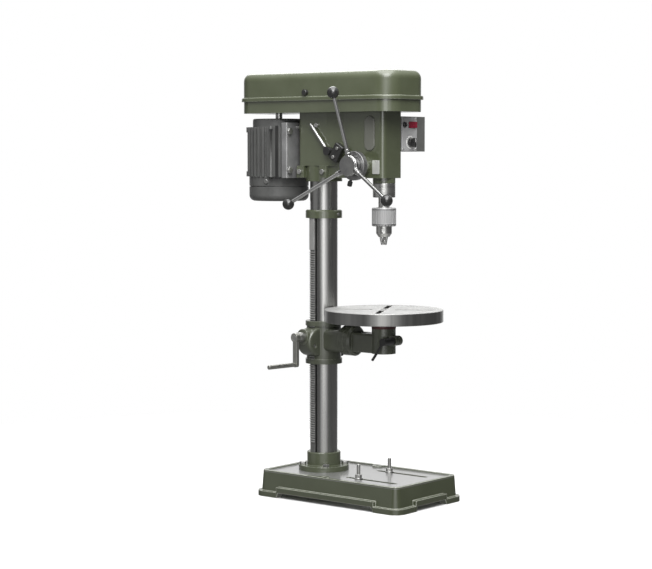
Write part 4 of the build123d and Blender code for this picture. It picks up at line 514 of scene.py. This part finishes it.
def lathe(name, profile, origin, axis, finish, body, steps=ROUND_STEPS):
    """Turn a profile of radius and height about an axis."""
    axis, first, second = basis(axis)
    points = []
    faces = []
    for step in range(steps):
        angle = 2 * math.pi * step / steps
        out = first * math.cos(angle) + second * math.sin(angle)
        points += [Vector(origin) + out * radius + axis * height for radius, height in profile]
    count = len(profile)
    for step in range(steps):
        here = step * count
        there = (step + 1) % steps * count
        for row in range(count - 1):
            faces.append((here + row, there + row, there + row + 1, here + row + 1))
    build(name, points, faces, finish, body, smooth=True)


def blocks(name, places, finish, body):
    """Several small blocks in one piece; each is a centre and three half edges."""
    points = []
    faces = []
    corners = [(x, y, z) for x in (-1, 1) for y in (-1, 1) for z in (-1, 1)]
    sides = ((0, 1, 3, 2), (4, 6, 7, 5), (0, 4, 5, 1), (2, 3, 7, 6), (0, 2, 6, 4), (1, 5, 7, 3))
    for centre, a, b, c in places:
        start = len(points)
        points += [Vector(centre) + a * x + b * y + c * z for x, y, z in corners]
        faces += [tuple(start + corner for corner in side) for side in sides]
    build(name, points, faces, finish, body)


# Thread on the clamp studs
STUD_R = 4.5 * MM
CREST = 0.5 * MM
THREAD_PITCH = 1.75 * MM
THREAD_UP = 13 * MM
PLAIN_TIP = 2 * MM


def thread_profile(radius, low, high, pitch):
    """Zigzag outline of a thread."""
    count = int((high - low) / pitch)
    points = []
    for turn in range(count):
        points += [(radius + PROUD, low + turn * pitch), (radius + CREST, low + (turn + 0.5) * pitch)]
    return points + [(radius + PROUD, low + count * pitch)]


for stud, body in (("clamp_stud_near", "stud_near"), ("clamp_stud_far", "stud_far")):
    centre = middle(stud)
    thread = thread_profile(STUD_R, PAN_Z + THREAD_UP, high_of(stud).z - PLAIN_TIP, THREAD_PITCH)
    lathe(
        stud + "_thread", thread, (centre.x, centre.y, 0), (0, 0, 1),
        plain_steel, body, SCREW_STEPS,
    )

# Scale on the depth ring
FEED = joint_at("feed_turn")
RING_X = low_of("depth_ring").x
RING_R = (high_of("depth_ring").z - low_of("depth_ring").z) / 2
TICKS = 60
LONG_EVERY = 5
LONG_HALF = 5.0 * MM
SHORT_HALF = 3.0 * MM
TICK_IN = 2.5 * MM
TICK_DEEP = 0.2 * MM
TICK_WIDE = 0.3 * MM
ring_marks = []
for tick in range(TICKS):
    angle = 2 * math.pi * tick / TICKS
    out = Vector((0, math.cos(angle), math.sin(angle)))
    side = Vector((0, -math.sin(angle), math.cos(angle)))
    half = SHORT_HALF if tick % LONG_EVERY else LONG_HALF
    spot = Vector((RING_X + TICK_IN + half, FEED.y, FEED.z)) + out * RING_R
    ring_marks.append((spot, out * TICK_DEEP, side * TICK_WIDE, Vector((half, 0, 0))))
blocks("depth_scale_marks", ring_marks, black_print_and_shade, "stop_ring")

# Selector dial on the panel, with plain numbers
SELECT = middle("selector_knob")
PANEL_FACE = low_of("switch_panel").y
DIAL_IN = 12.5 * MM
DIAL_OUT = 17.5 * MM
DIAL_MID = (DIAL_IN + DIAL_OUT) / 2
DIAL_THICK = 0.6 * MM
DIGIT_SIZE = 5.2 * MM
DIGIT_THICK = 0.1 * MM
DIGIT_OUT = 0.8 * MM
lathe(
    "selector_dial", [(DIAL_IN, PROUD), (DIAL_IN, DIAL_THICK), (DIAL_OUT, DIAL_THICK), (DIAL_OUT, PROUD)],
    (SELECT.x, PANEL_FACE, SELECT.z), (0, -1, 0), ink_white, "frame",
)
DIAL_MARKS = (-60, -30, 0, 30, 60)
for number, turn in enumerate(DIAL_MARKS):
    angle = math.radians(90 - turn)
    curve = bpy.data.curves.new(f"dial_number_{number}", "FONT")
    curve.body = str(number)
    curve.size = DIGIT_SIZE
    curve.align_x = "CENTER"
    curve.align_y = "CENTER"
    curve.extrude = DIGIT_THICK
    curve.materials.append(black_print_and_shade)
    digit = bpy.data.objects.new(f"dial_number_{number}", curve)
    digit.location = (
        SELECT.x + DIAL_MID * math.cos(angle), PANEL_FACE - DIGIT_OUT, SELECT.z + DIAL_MID * math.sin(angle)
    )
    digit.rotation_euler = (math.pi / 2, 0, 0)
    bpy.context.scene.collection.objects.link(digit)
    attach(digit, "frame")

# Pointer line on the selector, panel screws, and rivets on the bare plate
SELECT_FRONT = low_of("selector_knob").y
POINTER_UP = 6 * MM
POINTER_WIDE = 0.8 * MM
POINTER_DEEP = 0.2 * MM
POINTER_TALL = 5 * MM
pointer = (
    Vector((SELECT.x, SELECT_FRONT - PROUD, SELECT.z + POINTER_UP)),
    Vector((POINTER_WIDE, 0, 0)), Vector((0, POINTER_DEEP, 0)), Vector((0, 0, POINTER_TALL)),
)
blocks("selector_pointer", [pointer], ink_white, "selector")
PANEL_LOW = low_of("switch_panel")
PANEL_HIGH = high_of("switch_panel")
CORNER_IN = 4.5 * MM
panel_corners = [
    Vector((x, PANEL_FACE, z))
    for x in (PANEL_LOW.x + CORNER_IN, PANEL_HIGH.x - CORNER_IN)
    for z in (PANEL_LOW.z + CORNER_IN, PANEL_HIGH.z - CORNER_IN)
]
DOME = [(2.6 * MM, 0.0), (2.4 * MM, 0.7 * MM), (1.6 * MM, 1.3 * MM), (0.0, 1.6 * MM)]
for number, spot in enumerate(panel_corners):
    lathe(
        f"panel_screw_{number}", DOME, spot, (0, -1, 0),
        plain_steel, "frame", SCREW_STEPS,
    )
PLATE_LOW = low_of("bare_plate")
PLATE_HIGH = high_of("bare_plate")
RIVET_IN = 3.0 * MM
RIVET_WIDE = 0.55
RIVET_TALL = 0.6
RIVET = [(RIVET_WIDE * radius, RIVET_TALL * height) for radius, height in DOME]
for number, height in enumerate((PLATE_LOW.z + RIVET_IN, PLATE_HIGH.z - RIVET_IN)):
    spot = Vector((PLATE_LOW.x, (PLATE_LOW.y + PLATE_HIGH.y) / 2, height))
    lathe(
        f"plate_rivet_{number}", RIVET, spot, (-1, 0, 0),
        plain_steel, "frame", RIVET_STEPS,
    )

# Dark red band round the top of the arm's boss
BAND_R = 32.0 * MM
BAND_TOP = 475.5 * MM
BAND_H = 12.0 * MM
BAND_THICK = 0.4 * MM
BAND_OUT = BAND_R + BAND_THICK
lathe(
    "boss_band", [(BAND_R, 0.0), (BAND_OUT, BAND_THICK), (BAND_OUT, BAND_H), (BAND_R, BAND_H)],
    (SPINDLE.x, SPINDLE.y, BAND_TOP - BAND_H), (0, 0, 1), red_band, "arm",
)

# Tie rods with nuts along the motor's flanks, and black sheets of painted shade for the channels beside
# them
FLANK_X = 85.0 * MM
ROD_R = 2.4 * MM
NUT_R = 5.0 * MM
NUT_H = 5.0 * MM
ROD_Y = 114.0 * MM
ROD_LOW = 857.0 * MM
ROD_HIGH = 1002.0 * MM
ROD_HALF = (ROD_HIGH - ROD_LOW) / 2
CHANNEL_Y = 95.0 * MM
CHANNEL_HALF = 5.5 * MM
CHANNEL_DEEP = 0.3 * MM
ROD_PROFILE = [(0.0, ROD_LOW), (ROD_R, ROD_LOW)]
for nut_low in (ROD_LOW + NUT_H, ROD_HIGH - 2 * NUT_H):
    ROD_PROFILE += [(ROD_R, nut_low), (NUT_R, nut_low), (NUT_R, nut_low + NUT_H), (ROD_R, nut_low + NUT_H)]
ROD_PROFILE += [(ROD_R, ROD_HIGH), (0.0, ROD_HIGH)]
channel_shade_sheets = []
for number, side in enumerate((-1, 1)):
    spot = Vector((side * (FLANK_X + ROD_R), ROD_Y, 0))
    lathe(
        f"motor_tie_rod_{number}", ROD_PROFILE, spot, (0, 0, 1),
        charcoal, "motor", ROD_STEPS,
    )
    channel_shade_sheets.append((
        Vector((side * (FLANK_X + PROUD), CHANNEL_Y, ROD_LOW + ROD_HALF)),
        Vector((CHANNEL_DEEP, 0, 0)), Vector((0, CHANNEL_HALF, 0)), Vector((0, 0, ROD_HALF)),
    ))
blocks("motor_channel_shade", channel_shade_sheets, black_enamel_and_shade, "motor")

# Grille of slots in rings on the end of the fan cover, drawn as flat black marks of painted shade
MOTOR = middle("motor_rotor")
FAN_LOW = low_of("motor_frame").z
VENTS = 32
VENT_RINGS = 3
FIRST_RING = 22 * MM
RING_STEP = 13 * MM
VENT_HALF = 4.5 * MM
VENT_WIDE = 1.2 * MM
VENT_WIDER = 0.5 * MM
VENT_DEEP = 0.2 * MM
vent_shade_marks = []
for vent in range(VENTS):
    angle = 2 * math.pi * vent / VENTS
    out = Vector((math.cos(angle), math.sin(angle), 0))
    side = Vector((-math.sin(angle), math.cos(angle), 0))
    for ring in range(VENT_RINGS):
        spot = Vector((MOTOR.x, MOTOR.y, FAN_LOW)) + out * (FIRST_RING + ring * RING_STEP)
        wide = side * (VENT_WIDE + ring * VENT_WIDER)
        vent_shade_marks.append((spot, out * VENT_HALF, wide, Vector((0, 0, VENT_DEEP))))
blocks("fan_grille_shade", vent_shade_marks, black_print_and_shade, "motor")

# Pale floor that takes the object's shadow and fades out round it
FLOOR_HALF = 4.0
FADE_START = 0.7
FADE_END = 1.7
FLOOR_PALE = (0.80, 0.80, 0.80)
floor_corners = [(x * FLOOR_HALF, y * FLOOR_HALF, 0) for x, y in ((-1, -1), (1, -1), (1, 1), (-1, 1))]
floor_mesh = bpy.data.meshes.new("floor")
floor_mesh.from_pydata(floor_corners, [], [(0, 1, 2, 3)])
floor = bpy.data.objects.new("floor", floor_mesh)
pale = surface(
    "pale_floor", (0.78, 0.78, 0.78), FLOOR_PALE, patch=3.0, rough=(0.6, 0.7), bump=0.0, edge=FLOOR_PALE
)
pale_tree = pale.node_tree
away = length_of(pale_tree, place(pale_tree))
fading = ramp(pale_tree, away, FADE_START, FADE_END, 1.0, 0.0)
pale_tree.links.new(fading, pale_tree.nodes["Principled BSDF"].inputs["Alpha"])
floor_mesh.materials.append(pale)
floor.visible_diffuse = False
floor.visible_glossy = False
bpy.context.scene.collection.objects.link(floor)

# World: white to the camera, and for the object a dim room with pale areas that fade at their edges
YAW = math.radians(CAMERA_YAW)
PITCH = math.radians(CAMERA_PITCH)
HEADING = Vector((math.cos(YAW), math.sin(YAW), 0))
BACKDROP_EDGE = 0.80
BACKDROP_FULL = 0.93
CEILING_EDGE = 0.30
CEILING_FULL = 0.90
GROUND_EDGE = -0.05
GROUND_FULL = -0.5
GROUND_LEVEL = 0.25
SIDE_EDGE = 0.88
SIDE_FULL = 0.97
SIDE_LEVEL = 0.3
FRONT_EDGE = -0.84
FRONT_FULL = -0.92
FRONT_LEVEL = 0.7
ROOM = (0.10, 0.10, 0.10)
WHITE = (1.0, 1.0, 1.0)
world = bpy.data.worlds.new("studio")
bpy.context.scene.world = world
world.use_nodes = True
sky = world.node_tree
backdrop = sky.nodes["Background"]
direction = put(sky, "ShaderNodeTexCoord").outputs["Generated"]
rise = put(sky, "ShaderNodeSeparateXYZ", {0: direction}).outputs["Z"]
onward = dot(sky, direction, HEADING)
sideways = dot(sky, direction, Vector((-HEADING.x, HEADING.y, 0)))
bright = ramp(sky, onward, BACKDROP_EDGE, BACKDROP_FULL)
for area in (
    ramp(sky, rise, CEILING_EDGE, CEILING_FULL),
    ramp(sky, rise, GROUND_EDGE, GROUND_FULL, 0.0, GROUND_LEVEL),
    ramp(sky, sideways, SIDE_EDGE, SIDE_FULL, 0.0, SIDE_LEVEL),
    ramp(sky, onward, FRONT_EDGE, FRONT_FULL, 0.0, FRONT_LEVEL),
):
    bright = math_node(sky, "MAXIMUM", bright, area)
room = mix(sky, bright, ROOM, WHITE)
seen = put(sky, "ShaderNodeLightPath").outputs["Is Camera Ray"]
sky.links.new(mix(sky, seen, room, WHITE), backdrop.inputs["Color"])
backdrop.inputs["Strength"].default_value = 1.0

# Soft studio lights, all turned toward one point on the object
AIM = Vector((0.0, -0.1, 0.6))
FRONT_AWAY = 3.4
FRONT_SHIFT = Vector((-0.1, 0.15, 0.5))


def softbox(name, spot, width, height, power):
    """A large rectangular light."""
    light = bpy.data.lights.new(name, "AREA")
    light.shape = "RECTANGLE"
    light.size = width
    light.size_y = height
    light.energy = power
    lamp = bpy.data.objects.new(name, light)
    lamp.location = spot
    lamp.rotation_euler = (AIM - Vector(spot)).to_track_quat("-Z", "Y").to_euler()
    bpy.context.scene.collection.objects.link(lamp)


softbox("key_light", (-1.7, -1.7, 2.7), width=1.8, height=1.8, power=100.0)
softbox("top_light", (-0.4, -0.45, 3.2), width=2.4, height=2.4, power=85.0)
softbox("rear_light", (1.6, 1.5, 2.9), width=1.8, height=1.8, power=45.0)
softbox("front_card", AIM - FRONT_AWAY * HEADING + FRONT_SHIFT, width=1.3, height=2.2, power=14.0)

# Camera
look = HEADING * math.cos(PITCH) - Vector((0, 0, math.sin(PITCH)))
camera_data = bpy.data.cameras.new("camera")
camera_data.lens = CAMERA_LENS
camera_data.sensor_width = SENSOR
camera = bpy.data.objects.new("camera", camera_data)
camera.location = CAMERA_AT
camera.rotation_euler = look.to_track_quat("-Z", "Y").to_euler()
bpy.context.scene.collection.objects.link(camera)
bpy.context.scene.camera = camera
bpy.context.scene.view_settings.view_transform = "Standard"

# Bring the scene up to date
bpy.context.view_layer.update()
